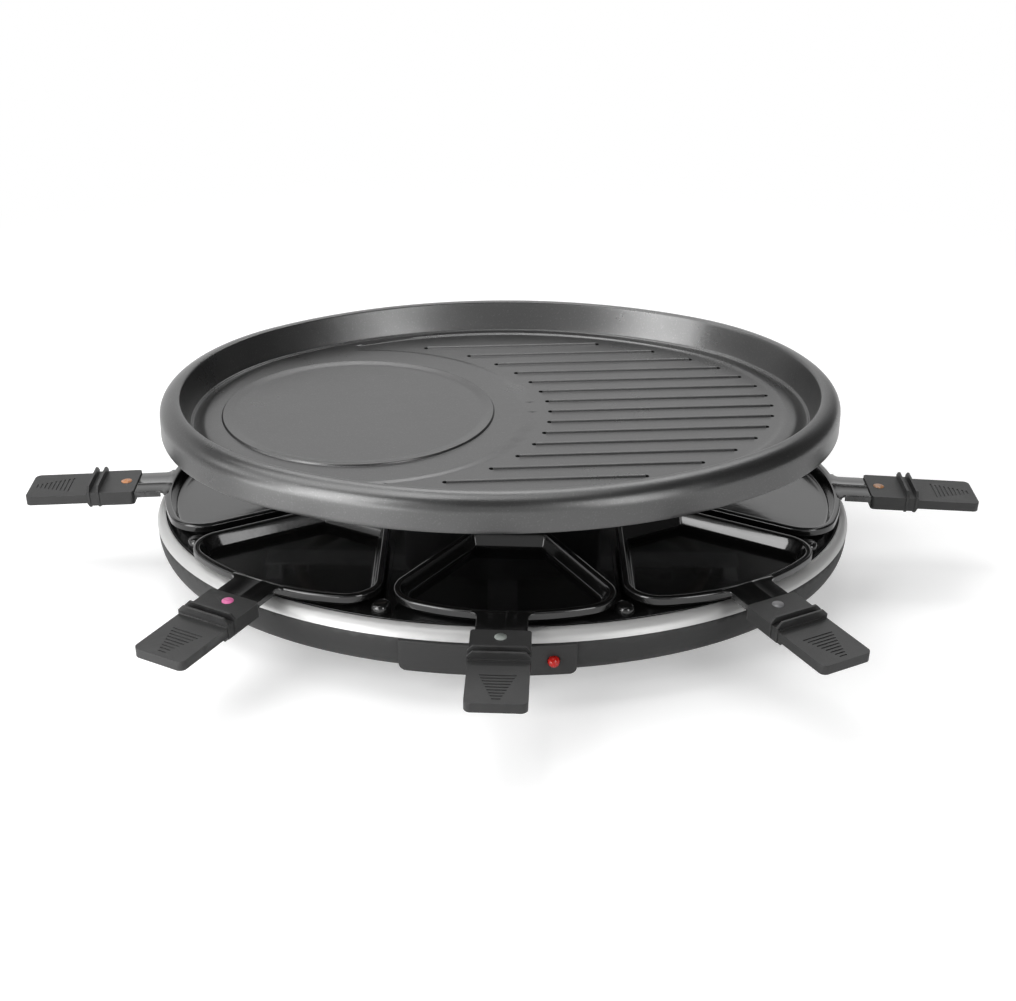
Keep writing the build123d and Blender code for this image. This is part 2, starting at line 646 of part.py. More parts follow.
lens_face_y = -base_edge_oval[1] - panel_proud
with BuildPart() as lamp_lens:
    with Locations(Plane(origin=(lamp_x, lamp_front_y, lamp_z), z_dir=(0, -1, 0))):
        Cylinder(lens_radius, lamp_front_y - lens_face_y, align=(Align.CENTER, Align.CENTER, Align.MIN))
    with Locations((lamp_x, lens_face_y, lamp_z)):
        Sphere(lens_radius)
save(lamp_lens, "lamp_lens")

# Two thin wires side by side from the terminal block forward to the lamp
with BuildPart() as lamp_wires:
    for side in (-1, 1):
        slip = side * (lamp_wire_radius + snug_fit)
        with BuildLine():
            lamp_run = FilletPolyline(
                (slip, wire_start_y, wire_z),
                (slip, lamp_wire_turns[0], wire_z),
                (lamp_x + slip, lamp_wire_turns[1], lamp_z),
                (lamp_x + slip, lamp_front_y + lamp_body_length, lamp_z),
                radius=lamp_wire_bend,
            )
        with BuildSketch(Plane(origin=lamp_run @ 0, z_dir=lamp_run % 0)):
            Circle(lamp_wire_radius)
        sweep()
save(lamp_wires, "lamp_wires")

# Grill plate, modelled square to the long axis and then turned
square_sum = plate_oval[0] ** 2 + plate_oval[1] ** 2
side_rest = 2 * (plate_oval[1] - plate_end_radius)
side_radius = (square_sum - 2 * plate_oval[0] * plate_end_radius) / side_rest
end_centre_x = plate_oval[0] - plate_end_radius
side_centre_y = side_radius - plate_oval[1]
end_half_angle = degrees(atan2(side_centre_y, end_centre_x))
# The four arcs of the plate's outline: centre, radius, start and size in degrees
plate_arcs = (
    (end_centre_x, 0.0, plate_end_radius, -end_half_angle, 2 * end_half_angle),
    (0.0, -side_centre_y, side_radius, end_half_angle, 180 - 2 * end_half_angle),
    (-end_centre_x, 0.0, plate_end_radius, 180 - end_half_angle, 2 * end_half_angle),
    (0.0, side_centre_y, side_radius, 180 + end_half_angle, 180 - 2 * end_half_angle),
)


def plate_outline(change):
    """The plate's outline seen from above, moved outwards by the change."""
    with BuildSketch() as outline:
        with BuildLine():
            for x, y, radius, start, size in plate_arcs:
                CenterArc((x, y), radius + change, start, size)
        make_face()
    return outline.sketch


def plate_block(low_z, low_change, high_z, high_change, mode=Mode.ADD):
    """A block with the plate's outline whose side leans between two heights."""
    levels = []
    for height, change in ((low_z, low_change), (high_z, high_change)):
        with BuildSketch(Plane.XY.offset(height)) as level:
            add(plate_outline(change))
        levels.append(level.sketch)
    loft(levels, ruled=True, mode=mode)


channel_edge = rim_width + basin_lean
floor_edge = channel_edge + channel_width + channel_bank
hollow_top_z = rim_top_z - 1.5 * plate_wall
basin_fall = basin_lean / (rim_top_z - channel_z)

# Hollow under the rim, open downwards, between the outer wall and the basin's wall
with BuildPart() as rim_hollow:
    plate_block(plate_bottom_z, -plate_wall, plate_shoulder_z, -plate_wall)
    plate_block(plate_shoulder_z, -plate_wall, hollow_top_z, -1.75 * plate_wall)
    wall_top = plate_wall - rim_width - basin_fall * (rim_top_z - hollow_top_z)
    plate_block(plate_under_z, plate_wall - channel_edge, hollow_top_z, wall_top, Mode.SUBTRACT)

with BuildPart() as straight_plate:
    # Oval block with a rounded top edge, then the basin sunk into it
    plate_block(plate_bottom_z, 0, rim_top_z, 0)
    fillet(straight_plate.faces().sort_by(Axis.Z)[-1].edges(), rim_top_z - plate_shoulder_z)
    plate_block(channel_z, -channel_edge, rim_top_z, -rim_width, Mode.SUBTRACT)
    fillet(straight_plate.faces().sort_by(Axis.Z)[-1].inner_wires()[0].edges(), rim_lip_round)
    add(rim_hollow.part, mode=Mode.SUBTRACT)
    # Raised cooking surface inside the drip channel
    plate_block(channel_z, -channel_edge - channel_width, plate_floor_z, -floor_edge)
    # Raised bead round the pancake disc, gentle inside and steep outside
    with Locations((crepe_centre_x, 0, plate_floor_z)):
        Cone(crepe_radius + bead_width, crepe_radius + bead_width - bead_outer_slope, bead_height,
             align=(Align.CENTER, Align.CENTER, Align.MIN))
        Cone(crepe_radius, crepe_radius + bead_inner_slope, bead_height,
             align=(Align.CENTER, Align.CENTER, Align.MIN), mode=Mode.SUBTRACT)
    # Lowered zone with the raised ribs
    with BuildSketch(Plane.XY.offset(plate_floor_z)):
        add(plate_outline(-floor_edge - rib_zone_gap))
        with Locations((crepe_centre_x, 0)):
            Circle(rib_zone_radius, mode=Mode.SUBTRACT)
        with Locations((-plate_oval[0], 0)):
            Rectangle(2 * (plate_oval[0] + crepe_centre_x), 4 * plate_oval[1], mode=Mode.SUBTRACT)
    extrude(amount=-rib_zone_drop, mode=Mode.SUBTRACT)
    rib_rows = []
    for row in range(rib_count):
        y = (row - (rib_count - 1) / 2) * rib_pitch
        left = crepe_centre_x + sqrt(rib_start_radius ** 2 - y ** 2)
        right = rib_end_oval[0] * sqrt(1 - (y / rib_end_oval[1]) ** 2)
        rib_rows.append((y, left, right))
    with BuildSketch(Plane.XY.offset(plate_floor_z - rib_zone_drop)):
        for y, left, right in rib_rows:
            with Locations(((left + right) / 2, y)):
                SlotOverall(right - left, rib_width)
    extrude(amount=rib_height, taper=rib_taper)
    for beyond in (-1.4 * dimple_radius, 1.4 * dimple_radius):
        with Locations(*[(beyond + (left if beyond < 0 else right), y, plate_floor_z - rib_zone_drop)
                         for y, left, right in rib_rows]):
            Cylinder(dimple_radius, 2 * dimple_depth, mode=Mode.SUBTRACT)

with BuildPart() as grill_plate:
    with Locations(Location((plate_centre_x, 0, 0), plate_turn)):
        add(straight_plate.part)
save(grill_plate, "grill_plate")

# Eight pans, each with handle, colour dot and screw


def make_pan(place):
    """Shallow wedge pan with a flat rim and a tongue for its handle."""
    rim_z = tray_top_z + pan_depth
    x, y, angle = place
    down = Plane(origin=(x, y, rim_z), x_dir=outward(angle), z_dir=(0, 0, -1))
    with BuildPart() as pan:
        with BuildSketch(down) as rim:
            add(rim_outline.sketch)
        extrude(rim.sketch, amount=rim_thickness)
        fillet(pan.edges().group_by(Axis.Z)[-1], rim_round)
        with BuildSketch(down) as wall:
            add(offset(rim_outline.sketch, amount=-pan_flange, mode=Mode.PRIVATE))
        extrude(wall.sketch, amount=pan_depth, taper=pan_draft)
        fillet(pan.edges().group_by(Axis.Z)[0], pan_foot_round)
        with BuildSketch(down) as well:
            add(offset(rim_outline.sketch, amount=-pan_flange - pan_sheet, mode=Mode.PRIVATE))
        extrude(well.sketch, amount=pan_depth - pan_sheet, taper=pan_draft, mode=Mode.SUBTRACT)
        flat_rim = pan.faces().filter_by(Axis.Z).sort_by(Axis.Z)[-1]
        fillet(flat_rim.inner_wires().edges(), rim_round)
        near = -pan_front_back - tongue_lap
        side_start = -pan_front_back + tongue_lap
        with Locations(grip_plane(place)):
            with Locations(((near + tongue_inside - sleeve_back) / 2, 0, -tongue_drop)):
                Box(tongue_inside - sleeve_back - near, tongue_width, tongue_thickness,
                    align=(Align.CENTER, Align.CENTER, Align.MAX))
            edge = (tongue_width - tongue_thickness) / 2
            with Locations(((side_start - sleeve_back) / 2, -edge, -tongue_drop),
                           ((side_start - sleeve_back) / 2, edge, -tongue_drop)):
                Box(-sleeve_back - side_start - snug_fit, tongue_thickness, tongue_side,
                    align=(Align.CENTER, Align.CENTER, Align.MAX))
            with Locations((handle_screw_x, 0, -tongue_drop)):
                Cylinder(screw_radius + snug_fit / 2, 4 * tongue_thickness, mode=Mode.SUBTRACT)
    return pan


def make_handle(place):
    """Moulded handle: sleeve over the tongue, finger guard and flat paddle."""
    grip = grip_plane(place)
    side_view = Plane(origin=grip.origin, x_dir=grip.x_dir, z_dir=-grip.y_dir)
    with BuildPart() as handle:
        with BuildSketch(side_view) as profile:
            with BuildLine():
                Polyline(
                    (-sleeve_back, 0), (paddle_start, 0), (paddle_start, -paddle_step),
                    (paddle_length, -paddle_step), (paddle_length, -paddle_step - paddle_thickness),
                    (paddle_start, -paddle_step - paddle_thickness),
                    (paddle_start - paddle_step, -sleeve_height), (-sleeve_back, -sleeve_height),
                    close=True,
                )
            make_face()
        extrude(profile.sketch, amount=sleeve_width / 2, both=True)
        up_axis = Axis(grip.origin, grip.z_dir)
        out_axis = Axis(grip.origin, grip.x_dir)
        fillet(handle.edges().filter_by(up_axis).sort_by(out_axis)[-2:], paddle_corner)
        fillet(handle.edges().filter_by(up_axis).sort_by(out_axis)[:2], sleeve_corner)
        # Finger guard
        for position in fin_positions:
            across = Plane(origin=grip.origin + grip.x_dir * position, x_dir=grip.y_dir, z_dir=grip.x_dir)
            middle = (fin_rise - fin_drop - sleeve_height) / 2
            with BuildSketch(across) as fin:
                with Locations((0, middle)):
                    Rectangle(sleeve_width + 2 * fin_overhang, fin_rise + fin_drop + sleeve_height)
                chamfer(fin.vertices(), fin_chamfer)
            extrude(fin.sketch, amount=fin_thickness / 2, both=True)
        with Locations(grip):
            # Slot for the tongue
            with Locations((-sleeve_back, 0, snug_fit - tongue_drop)):
                Box(2 * (tongue_inside + snug_fit), tongue_width + 2 * snug_fit,
                    tongue_thickness + 2 * snug_fit,
                    align=(Align.CENTER, Align.CENTER, Align.MAX), mode=Mode.SUBTRACT)
            # Grip pattern: lines that grow shorter towards the tip
            for line in range(grip_lines):
                share = line / (grip_lines - 1)
                width = grip_widths[0] + share * (grip_widths[1] - grip_widths[0])
                with Locations((grip_start + line * grip_pitch, 0, -paddle_step)):
                    Box(grip_line, width, 2 * grip_depth, mode=Mode.SUBTRACT)
            # Seat of the colour dot
            Cylinder(dot_radius + snug_fit / 2, 2 * dot_depth, mode=Mode.SUBTRACT)
            # Countersunk hole for the screw from below
            with Locations((handle_screw_x, 0, -sleeve_height)):
                Cylinder(screw_head_radius + snug_fit, 2 * screw_head_height, mode=Mode.SUBTRACT)
                Cylinder(screw_radius + snug_fit / 2, sleeve_height - tongue_drop,
                         align=(Align.CENTER, Align.CENTER, Align.MIN), mode=Mode.SUBTRACT)
    return handle


def make_dot(place):
    """Small coloured disc that tells the pans apart."""
    with BuildPart() as dot:
        with Locations(grip_plane(place)):
            with Locations((0, 0, -dot_depth)):
                Cylinder(dot_radius, dot_depth + dot_proud, align=(Align.CENTER, Align.CENTER, Align.MIN))
    return dot


def make_screw(place):
    """Screw that holds the handle on the tongue."""
    with BuildPart() as screw:
        with Locations(grip_plane(place)):
            with Locations((handle_screw_x, 0, screw_head_height - sleeve_height)):
                Cylinder(screw_head_radius, screw_head_height, align=(Align.CENTER, Align.CENTER, Align.MAX))
                Cylinder(screw_radius, sleeve_height - screw_head_height - tongue_drop,
                         align=(Align.CENTER, Align.CENTER, Align.MIN))
            with Locations((handle_screw_x, 0, -sleeve_height)):
                Box(screw_head_radius, screw_radius / 2, screw_head_height, mode=Mode.SUBTRACT)
    return screw


for spot, place in pan_places.items():
    save(make_pan(place), f"pan_{spot}")
    save(make_handle(place), f"handle_{spot}")
    save(make_dot(place), f"dot_{spot}")
    save(make_screw(place), f"handle_screw_{spot}")
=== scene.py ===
# %% [markdown]
# # An oval table grill with eight pans
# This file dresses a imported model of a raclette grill. The construction is fixed: every
# node already has its real size and place, in metres. Here each visible surface gets its
# finish, and the pieces whose curves show most are made again with finer meshes.

# %% Load the fixed frame
import json
from math import atan2, cos, degrees, pi, radians, sin, sqrt, tan

import bmesh
import bpy
from mathutils import Matrix, Vector


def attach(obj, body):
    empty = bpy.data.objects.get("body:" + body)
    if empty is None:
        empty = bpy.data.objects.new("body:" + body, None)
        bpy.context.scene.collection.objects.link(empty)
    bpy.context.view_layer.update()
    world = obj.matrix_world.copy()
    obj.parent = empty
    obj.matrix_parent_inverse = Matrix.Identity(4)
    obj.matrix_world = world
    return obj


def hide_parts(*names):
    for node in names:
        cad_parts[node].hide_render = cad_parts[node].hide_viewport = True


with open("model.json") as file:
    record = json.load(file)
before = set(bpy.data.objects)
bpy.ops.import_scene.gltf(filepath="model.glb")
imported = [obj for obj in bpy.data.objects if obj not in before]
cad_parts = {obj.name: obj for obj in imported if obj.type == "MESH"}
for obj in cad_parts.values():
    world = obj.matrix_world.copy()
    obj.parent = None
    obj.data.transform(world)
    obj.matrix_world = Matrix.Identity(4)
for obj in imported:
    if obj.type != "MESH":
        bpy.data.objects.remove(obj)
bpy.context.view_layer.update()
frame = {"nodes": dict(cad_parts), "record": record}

# %% [markdown]
# ## Camera
# The picture looks down on the grill at about 25 degrees from the front. The camera stands
# a metre away with a slightly long lens, so the perspective is mild. Three rotations aim
# it: the tilt down, a touch of yaw and a touch of roll.

# %% Camera
MM = 0.001


def in_scene(name, data):
    """A new object in the scene that shows the given data."""
    made = bpy.data.objects.new(name, data)
    bpy.context.scene.collection.objects.link(made)
    return made


camera_place = Vector((-3.0, -890.4, 464.1)) * MM
camera_pitch, camera_yaw, camera_roll = radians(25.48), radians(-0.37), radians(0.54)

camera_data = bpy.data.cameras.new("camera")
camera_data.sensor_width = 36.0
camera_data.lens = 63.81
camera = in_scene("camera", camera_data)
turn = Matrix.Rotation(camera_yaw, 4, "Z") @ Matrix.Rotation(pi / 2 - camera_pitch, 4, "X")
camera.matrix_world = Matrix.Translation(camera_place) @ turn @ Matrix.Rotation(camera_roll, 4, "Z")
bpy.context.scene.camera = camera
print("camera height above the table in mm:", round(camera_place.z / MM))

# %% [markdown]
# ## Small helpers for node trees
# A shader tree is a list of boxes and wires. These helpers keep the recipes short: they make
# a box and fill in its inputs, join two boxes, start a material or a group, and do the sums.

# %% Helpers for shader trees
def put(tree, kind, **values):
    """A new node with some of its inputs set by name."""
    made = tree.nodes.new(kind)
    for name, value in values.items():
        made.inputs[name.replace("_", " ")].default_value = value
    return made


def wire(tree, source, output, target, socket):
    """Join an output to an input, both by name or number."""
    tree.links.new(source.outputs[output], target.inputs[socket])


def fresh_material(name, **shader_values):
    """A material with one Principled shader, ready for its pattern."""
    material = bpy.data.materials.new(name)
    material.use_nodes = True
    tree = material.node_tree
    tree.nodes.clear()
    shader = put(tree, "ShaderNodeBsdfPrincipled", **shader_values)
    out = tree.nodes.new("ShaderNodeOutputMaterial")
    wire(tree, shader, "BSDF", out, "Surface")
    return material, tree, shader


def fresh_group(name, inputs, outputs):
    """An empty shader group with named sockets and a node for each end."""
    group = bpy.data.node_groups.new(name, "ShaderNodeTree")
    for label, kind, value in inputs:
        socket = group.interface.new_socket(label, in_out="INPUT", socket_type=kind)
        socket.default_value = value
    for label, kind in outputs:
        group.interface.new_socket(label, in_out="OUTPUT", socket_type=kind)
    return group, group.nodes.new("NodeGroupInput"), group.nodes.new("NodeGroupOutput")


def place_group(tree, group, **values):
    """One use of a group inside a material, with its own values."""
    made = tree.nodes.new("ShaderNodeGroup")
    made.node_tree = group
    for name, value in values.items():
        made.inputs[name.replace("_", " ")].default_value = value
    return made


def maths(tree, operation, first, second=None, third=None):
    """A maths node; each operand is a number or a pair of node and output."""
    made = tree.nodes.new("ShaderNodeMath")
    made.operation = operation
    for slot, value in enumerate((first, second, third)):
        if isinstance(value, tuple):
            wire(tree, value[0], value[1], made, slot)
        elif value is not None:
            made.inputs[slot].default_value = value
    return made


def blend(tree, factor, first, second=None):
    """A mix of two colours by a factor; each is a pair of node and output."""
    made = tree.nodes.new("ShaderNodeMix")
    made.data_type = "RGBA"
    for slot, value in ((0, factor), (6, first), (7, second)):
        if value is not None:
            wire(tree, value[0], value[1], made, slot)
    return made


NUMBER, COLOR = "NodeSocketFloat", "NodeSocketColor"

# %% [markdown]
# ## Shared effects
# Five effects come back in several finishes, so each is a group with named inputs: the
# fine grain of moulded or cast parts, the flecks of a non-stick coating, edges rubbed
# bare, the uneven gloss that hands and cloths leave, and the streaks of a brushed band.

# %% Group: moulded grain
def grain_group():
    """Two sizes of noise added into one height."""
    group, ins, outs = fresh_group(
        "moulded grain",
        [("Scale", NUMBER, 900.0), ("Coarse", NUMBER, 0.3)],
        [("Height", NUMBER)],
    )
    where = group.nodes.new("ShaderNodeTexCoord")
    fine = put(group, "ShaderNodeTexNoise", Detail=2.0)
    broad = put(group, "ShaderNodeTexNoise", Detail=1.0)
    slower = maths(group, "MULTIPLY", (ins, "Scale"), 0.12)
    mix = put(group, "ShaderNodeMix")
    wire(group, where, "Object", fine, "Vector")
    wire(group, where, "Object", broad, "Vector")
    wire(group, ins, "Scale", fine, "Scale")
    wire(group, slower, 0, broad, "Scale")
    wire(group, ins, "Coarse", mix, "Factor")
    wire(group, fine, 0, mix, "A")
    wire(group, broad, 0, mix, "B")
    wire(group, mix, "Result", outs, "Height")
    return group


grain = grain_group()
print("group:", grain.name)

# %% Group: coating flecks
def fleck_group():
    """Small lighter flecks scattered over a base colour."""
    group, ins, outs = fresh_group(
        "coating flecks",
        [("Base", COLOR, (0.15, 0.15, 0.15, 1)), ("Fleck", COLOR, (0.3, 0.3, 0.3, 1)),
         ("Scale", NUMBER, 700.0), ("Amount", NUMBER, 0.4)],
        [("Color", COLOR)],
    )
    where = group.nodes.new("ShaderNodeTexCoord")
    noise = put(group, "ShaderNodeTexNoise", Detail=3.0, Roughness=0.7)
    sharpen = put(group, "ShaderNodeMapRange", From_Min=0.56, From_Max=0.72)
    wire(group, where, "Object", noise, "Vector")
    wire(group, ins, "Scale", noise, "Scale")
    wire(group, noise, 0, sharpen, "Value")
    amount = maths(group, "MULTIPLY", (sharpen, 0), (ins, "Amount"))
    mix = blend(group, (amount, 0), (ins, "Base"), (ins, "Fleck"))
    wire(group, mix, 2, outs, "Color")
    return group


flecks = fleck_group()
print("group:", flecks.name)

# %% Group: worn edges
def wear_group():
    """A colour that changes on convex edges, where noise breaks it up."""
    group, ins, outs = fresh_group(
        "worn edges",
        [("Base", COLOR, (0.1, 0.1, 0.1, 1)), ("Worn", COLOR, (0.4, 0.4, 0.4, 1)),
         ("Amount", NUMBER, 0.5)],
        [("Color", COLOR)],
    )
    shape = group.nodes.new("ShaderNodeNewGeometry")
    where = group.nodes.new("ShaderNodeTexCoord")
    edge = put(group, "ShaderNodeMapRange", From_Min=0.52, From_Max=0.62)
    noise = put(group, "ShaderNodeTexNoise", Scale=160.0, Detail=4.0)
    broken = put(group, "ShaderNodeMapRange", From_Min=0.35, From_Max=0.65)
    wire(group, shape, "Pointiness", edge, "Value")
    wire(group, where, "Object", noise, "Vector")
    wire(group, noise, 0, broken, "Value")
    rubbed = maths(group, "MULTIPLY", (edge, 0), (broken, 0))
    amount = maths(group, "MULTIPLY", (rubbed, 0), (ins, "Amount"))
    mix = blend(group, (amount, 0), (ins, "Base"), (ins, "Worn"))
    wire(group, mix, 2, outs, "Color")
    return group


wear = wear_group()
print("group:", wear.name)

# %% Group: uneven gloss
def gloss_group():
    """A roughness that drifts between two values in soft patches."""
    group, ins, outs = fresh_group(
        "uneven gloss",
        [("Low", NUMBER, 0.3), ("High", NUMBER, 0.4), ("Scale", NUMBER, 25.0)],
        [("Roughness", NUMBER)],
    )
    where = group.nodes.new("ShaderNodeTexCoord")
    noise = put(group, "ShaderNodeTexNoise", Detail=5.0, Roughness=0.6)
    spread = put(group, "ShaderNodeMapRange", From_Min=0.35, From_Max=0.65)
    wire(group, where, "Object", noise, "Vector")
    wire(group, ins, "Scale", noise, "Scale")
    wire(group, noise, 0, spread, "Value")
    wire(group, ins, "Low", spread, "To Min")
    wire(group, ins, "High", spread, "To Max")
    wire(group, spread, 0, outs, "Roughness")
    return group


gloss = gloss_group()
print("group:", gloss.name)

# %% Group: brushed round the oval
def brushed_group():
    """Long thin streaks that follow the base's oval, as a brushed steel band has them."""
    group, ins, outs = fresh_group(
        "brushed round",
        [("Lines", NUMBER, 2500.0), ("Stretch", NUMBER, 6.0)],
        [("Height", NUMBER)],
    )
    where = group.nodes.new("ShaderNodeTexCoord")
    parts = group.nodes.new("ShaderNodeSeparateXYZ")
    wire(group, where, "Object", parts, "Vector")
    angle = maths(group, "ARCTAN2", (parts, "Y"), (parts, "X"))
    along = maths(group, "MULTIPLY", (angle, 0), (ins, "Stretch"))
    across = maths(group, "MULTIPLY", (parts, "Z"), (ins, "Lines"))
    join = group.nodes.new("ShaderNodeCombineXYZ")
    noise = put(group, "ShaderNodeTexNoise", Scale=1.0, Detail=3.0)
    wire(group, along, 0, join, "X")
    wire(group, across, 0, join, "Y")
    wire(group, join, 0, noise, "Vector")
    wire(group, noise, 0, outs, "Height")
    return group


brushed = brushed_group()
print("group:", brushed.name)

# %% [markdown]
# ## Finishes
# Every slot of the record gets one material. A dark coating looks flat with one colour, so
# each recipe takes its colour from flecks or worn edges and its gloss from uneven patches.
# Most take a fine relief from grain too. Plain numbers stay on the shader itself.

# %% Recipes for metal, coating and plastic
# Relief of the finishes, in metres
FINE, PLAIN = 0.00003, 0.00006


def grey(value):
    """A neutral colour with full alpha."""
    return (value, value, value, 1.0)


def join_up(tree, shader, colour, rough, patch_scale, height=None, depth=0.0):
    """Give a shader its colour, its uneven gloss and a relief of the depth in metres."""
    wire(tree, colour[0], colour[1], shader, "Base Color")
    patches = place_group(tree, gloss, Low=rough[0], High=rough[1], Scale=patch_scale)
    wire(tree, patches, "Roughness", shader, "Roughness")
    if height is not None:
        relief = put(tree, "ShaderNodeBump", Strength=1.0, Distance=depth)
        wire(tree, height, "Height", relief, "Height")
        wire(tree, relief, "Normal", shader, "Normal")


def coated_finish(name, base, fleck, amount, rough, relief):
    """Cast aluminium under a dark non-stick coating with fine flecks, and painted shade on the flat pit
    discs.
    """
    material, tree, shader = fresh_material(name, Metallic=0.9)
    colour = place_group(tree, flecks, Base=base, Fleck=fleck, Scale=1100.0, Amount=amount)
    rubbed = place_group(tree, wear, Worn=fleck, Amount=0.25)
    wire(tree, colour, "Color", rubbed, "Base")
    # The pit mark picks out flat discs whose near-black colour is painted shade, not a real hollow
    pit = tree.nodes.new("ShaderNodeAttribute")
    pit.attribute_name = "pit"
    darker = blend(tree, (pit, "Fac"), (rubbed, "Color"))
    darker.inputs[7].default_value = grey(0.008)
    # A pit disc is painted shade standing in for a dark hole, so it is near black and loses its metal and
    # its shine
    for socket, level in (("Metallic", 0.9), ("Specular IOR Level", 0.5)):
        left = maths(tree, "MULTIPLY_ADD", (pit, "Fac"), -level, level)
        wire(tree, left, 0, shader, socket)
    cast = place_group(tree, grain, Scale=1500.0, Coarse=0.45)
    join_up(tree, shader, (darker, 2), rough, 18.0, cast, relief)
    return material


def enamel_finish(name, base, worn, rough, coat):
    """Glossy black enamel, thin and a little grey where its edges are rubbed."""
    material, tree, shader = fresh_material(name, Metallic=0.0, Coat_Weight=coat, Coat_Roughness=0.05)
    rubbed = place_group(tree, wear, Base=base, Worn=worn, Amount=0.5)
    orange_peel = place_group(tree, grain, Scale=260.0, Coarse=0.5)
    join_up(tree, shader, (rubbed, "Color"), rough, 30.0, orange_peel, PLAIN)
    return material


def plastic_finish(name, base, worn, rough, scale, relief, specular=0.4):
    """Moulded plastic with a fine grain and slightly paler edges."""
    material, tree, shader = fresh_material(name, Metallic=0.0, Specular_IOR_Level=specular)
    rubbed = place_group(tree, wear, Base=base, Worn=worn, Amount=0.6)
    moulded = place_group(tree, grain, Scale=scale, Coarse=0.25)
    join_up(tree, shader, (rubbed, "Color"), rough, 22.0, moulded, relief)
    return material


def metal_finish(name, base, rough, relief, streaks=0.0, metallic=1.0):
    """Bare metal, plain or brushed round the oval."""
    material, tree, shader = fresh_material(name, Metallic=metallic)
    rubbed = place_group(tree, wear, Base=base, Worn=grey(0.8), Amount=0.4)
    if streaks:
        marks = place_group(tree, brushed, Lines=2600.0, Stretch=streaks)
    else:
        marks = place_group(tree, grain, Scale=700.0, Coarse=0.5)
    join_up(tree, shader, (rubbed, "Color"), rough, 40.0, marks, relief)
    return material


def dot_finish(name, base):
    """Smooth coloured plastic, a shade darker in patches."""
    material, tree, shader = fresh_material(name, Metallic=0.0, Coat_Weight=0.15)
    darker = tuple(0.75 * part for part in base[:3]) + (1.0,)
    colour = place_group(tree, flecks, Base=base, Fleck=darker, Scale=420.0, Amount=0.35)
    join_up(tree, shader, (colour, "Color"), (0.28, 0.4), 60.0)
    return material


# %% One material for every slot
finishes = {
    "coated_cast_aluminium": coated_finish(
        "coated cast plate", grey(0.115), grey(0.20), 0.5, (0.27, 0.34), PLAIN),
    "black_enamel": enamel_finish("black enamel", grey(0.006), grey(0.05), (0.10, 0.18), 0.4),
    "pan_coating": enamel_finish("pan coating", grey(0.005), grey(0.12), (0.12, 0.2), 0.5),
    "satin_steel": metal_finish(
        "satin steel band", (0.50, 0.50, 0.495, 1), (0.38, 0.46), 0.00004, streaks=5.0, metallic=0.4),
    "shell_plastic": plastic_finish(
        "shell plastic", grey(0.032), grey(0.09), (0.5, 0.6), 1400.0, PLAIN, 0.3),
    "panel_plastic": plastic_finish(
        "panel plastic", grey(0.034), grey(0.09), (0.45, 0.52), 1800.0, FINE, 0.3),
    "handle_plastic": plastic_finish(
        "handle plastic", grey(0.023), grey(0.10), (0.42, 0.52), 1300.0, PLAIN),
    "foot_rubber": plastic_finish("foot rubber", grey(0.02), grey(0.06), (0.7, 0.8), 900.0, 0.0001, 0.25),
    "cover_steel": plastic_finish("cover paint", grey(0.04), grey(0.2), (0.5, 0.6), 1100.0, PLAIN),
    "aluminised_steel": metal_finish("aluminised sheet", (0.42, 0.42, 0.43, 1), (0.35, 0.5), 0.00004),
    "element_steel": metal_finish("heated element", (0.10, 0.085, 0.075, 1), (0.45, 0.6), 0.00008),
    "screw_steel": metal_finish("zinc screws", (0.55, 0.55, 0.57, 1), (0.25, 0.35), FINE),
    "ceramic": plastic_finish("ceramic", (0.78, 0.75, 0.69, 1), grey(0.85), (0.5, 0.6), 900.0, 0.00005),
    "thermostat_brass": metal_finish("brass can", (0.62, 0.47, 0.22, 1), (0.3, 0.4), FINE),
    "wire_cover": plastic_finish(
        "glass sleeve", (0.62, 0.60, 0.54, 1), grey(0.7), (0.7, 0.8), 2200.0, 0.0001),
    "lamp_plastic": plastic_finish("lamp housing", grey(0.25), grey(0.4), (0.45, 0.55), 1200.0, 0.00004),
}
for shade, colour in (
    ("grey green", (0.23, 0.25, 0.235, 1)), ("grey", (0.16, 0.16, 0.165, 1)),
    ("brown", (0.38, 0.17, 0.065, 1)), ("orange", (0.46, 0.19, 0.07, 1)),
    ("blue", (0.07, 0.17, 0.42, 1)), ("yellow", (0.60, 0.45, 0.06, 1)),
    ("green", (0.08, 0.30, 0.12, 1)), ("pink", (0.70, 0.15, 0.36, 1)),
):
    finishes["dot_" + shade.replace(" ", "_")] = dot_finish("dot " + shade, colour)


def lens_finish():
    """Clear red plastic, a little lighter in patches."""
    material, tree, shader = fresh_material("lamp lens", Metallic=0.0, Transmission_Weight=0.35, IOR=1.49)
    colour = place_group(tree, flecks, Base=(0.75, 0.02, 0.015, 1), Fleck=(0.9, 0.10, 0.05, 1),
                         Scale=300.0, Amount=0.4)
    join_up(tree, shader, (colour, "Color"), (0.06, 0.12), 80.0)
    return material


finishes["lamp_lens"] = lens_finish()
slot_of = {part["node"]: part["material_slot"] for part in frame["record"]["subparts"]}
missing = sorted(set(slot_of.values()) - set(finishes))
print("finishes:", len(finishes), "slots without one:", missing)

# %% [markdown]
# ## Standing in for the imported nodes
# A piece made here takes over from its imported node: it gets the node's finish, rides on the
# same body, and the node is hidden behind it.

# %% Helpers for pieces and meshes
# Bends below these angles look soft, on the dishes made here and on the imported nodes
SOFT_DISH, SOFT_NODE = radians(40.0), radians(32.0)
body_of = {node: body for body, nodes in frame["record"]["behaviour"]["bodies"].items() for node in nodes}
dressed = set()


def stand_in(piece, node):
    """Give the piece its finish and body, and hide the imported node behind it."""
    piece.data.materials.clear()
    piece.data.materials.append(finishes[slot_of[node]])
    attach(piece, body_of[node])
    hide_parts(node)
    dressed.add(node)


def piece_from(mesh, node):
    """Put a finished mesh in the scene in place of a node."""
    piece = in_scene(node + "_dressed", mesh)
    mesh.shade_smooth()
    mesh.set_sharp_from_angle(angle=SOFT_DISH)
    stand_in(piece, node)
    return piece


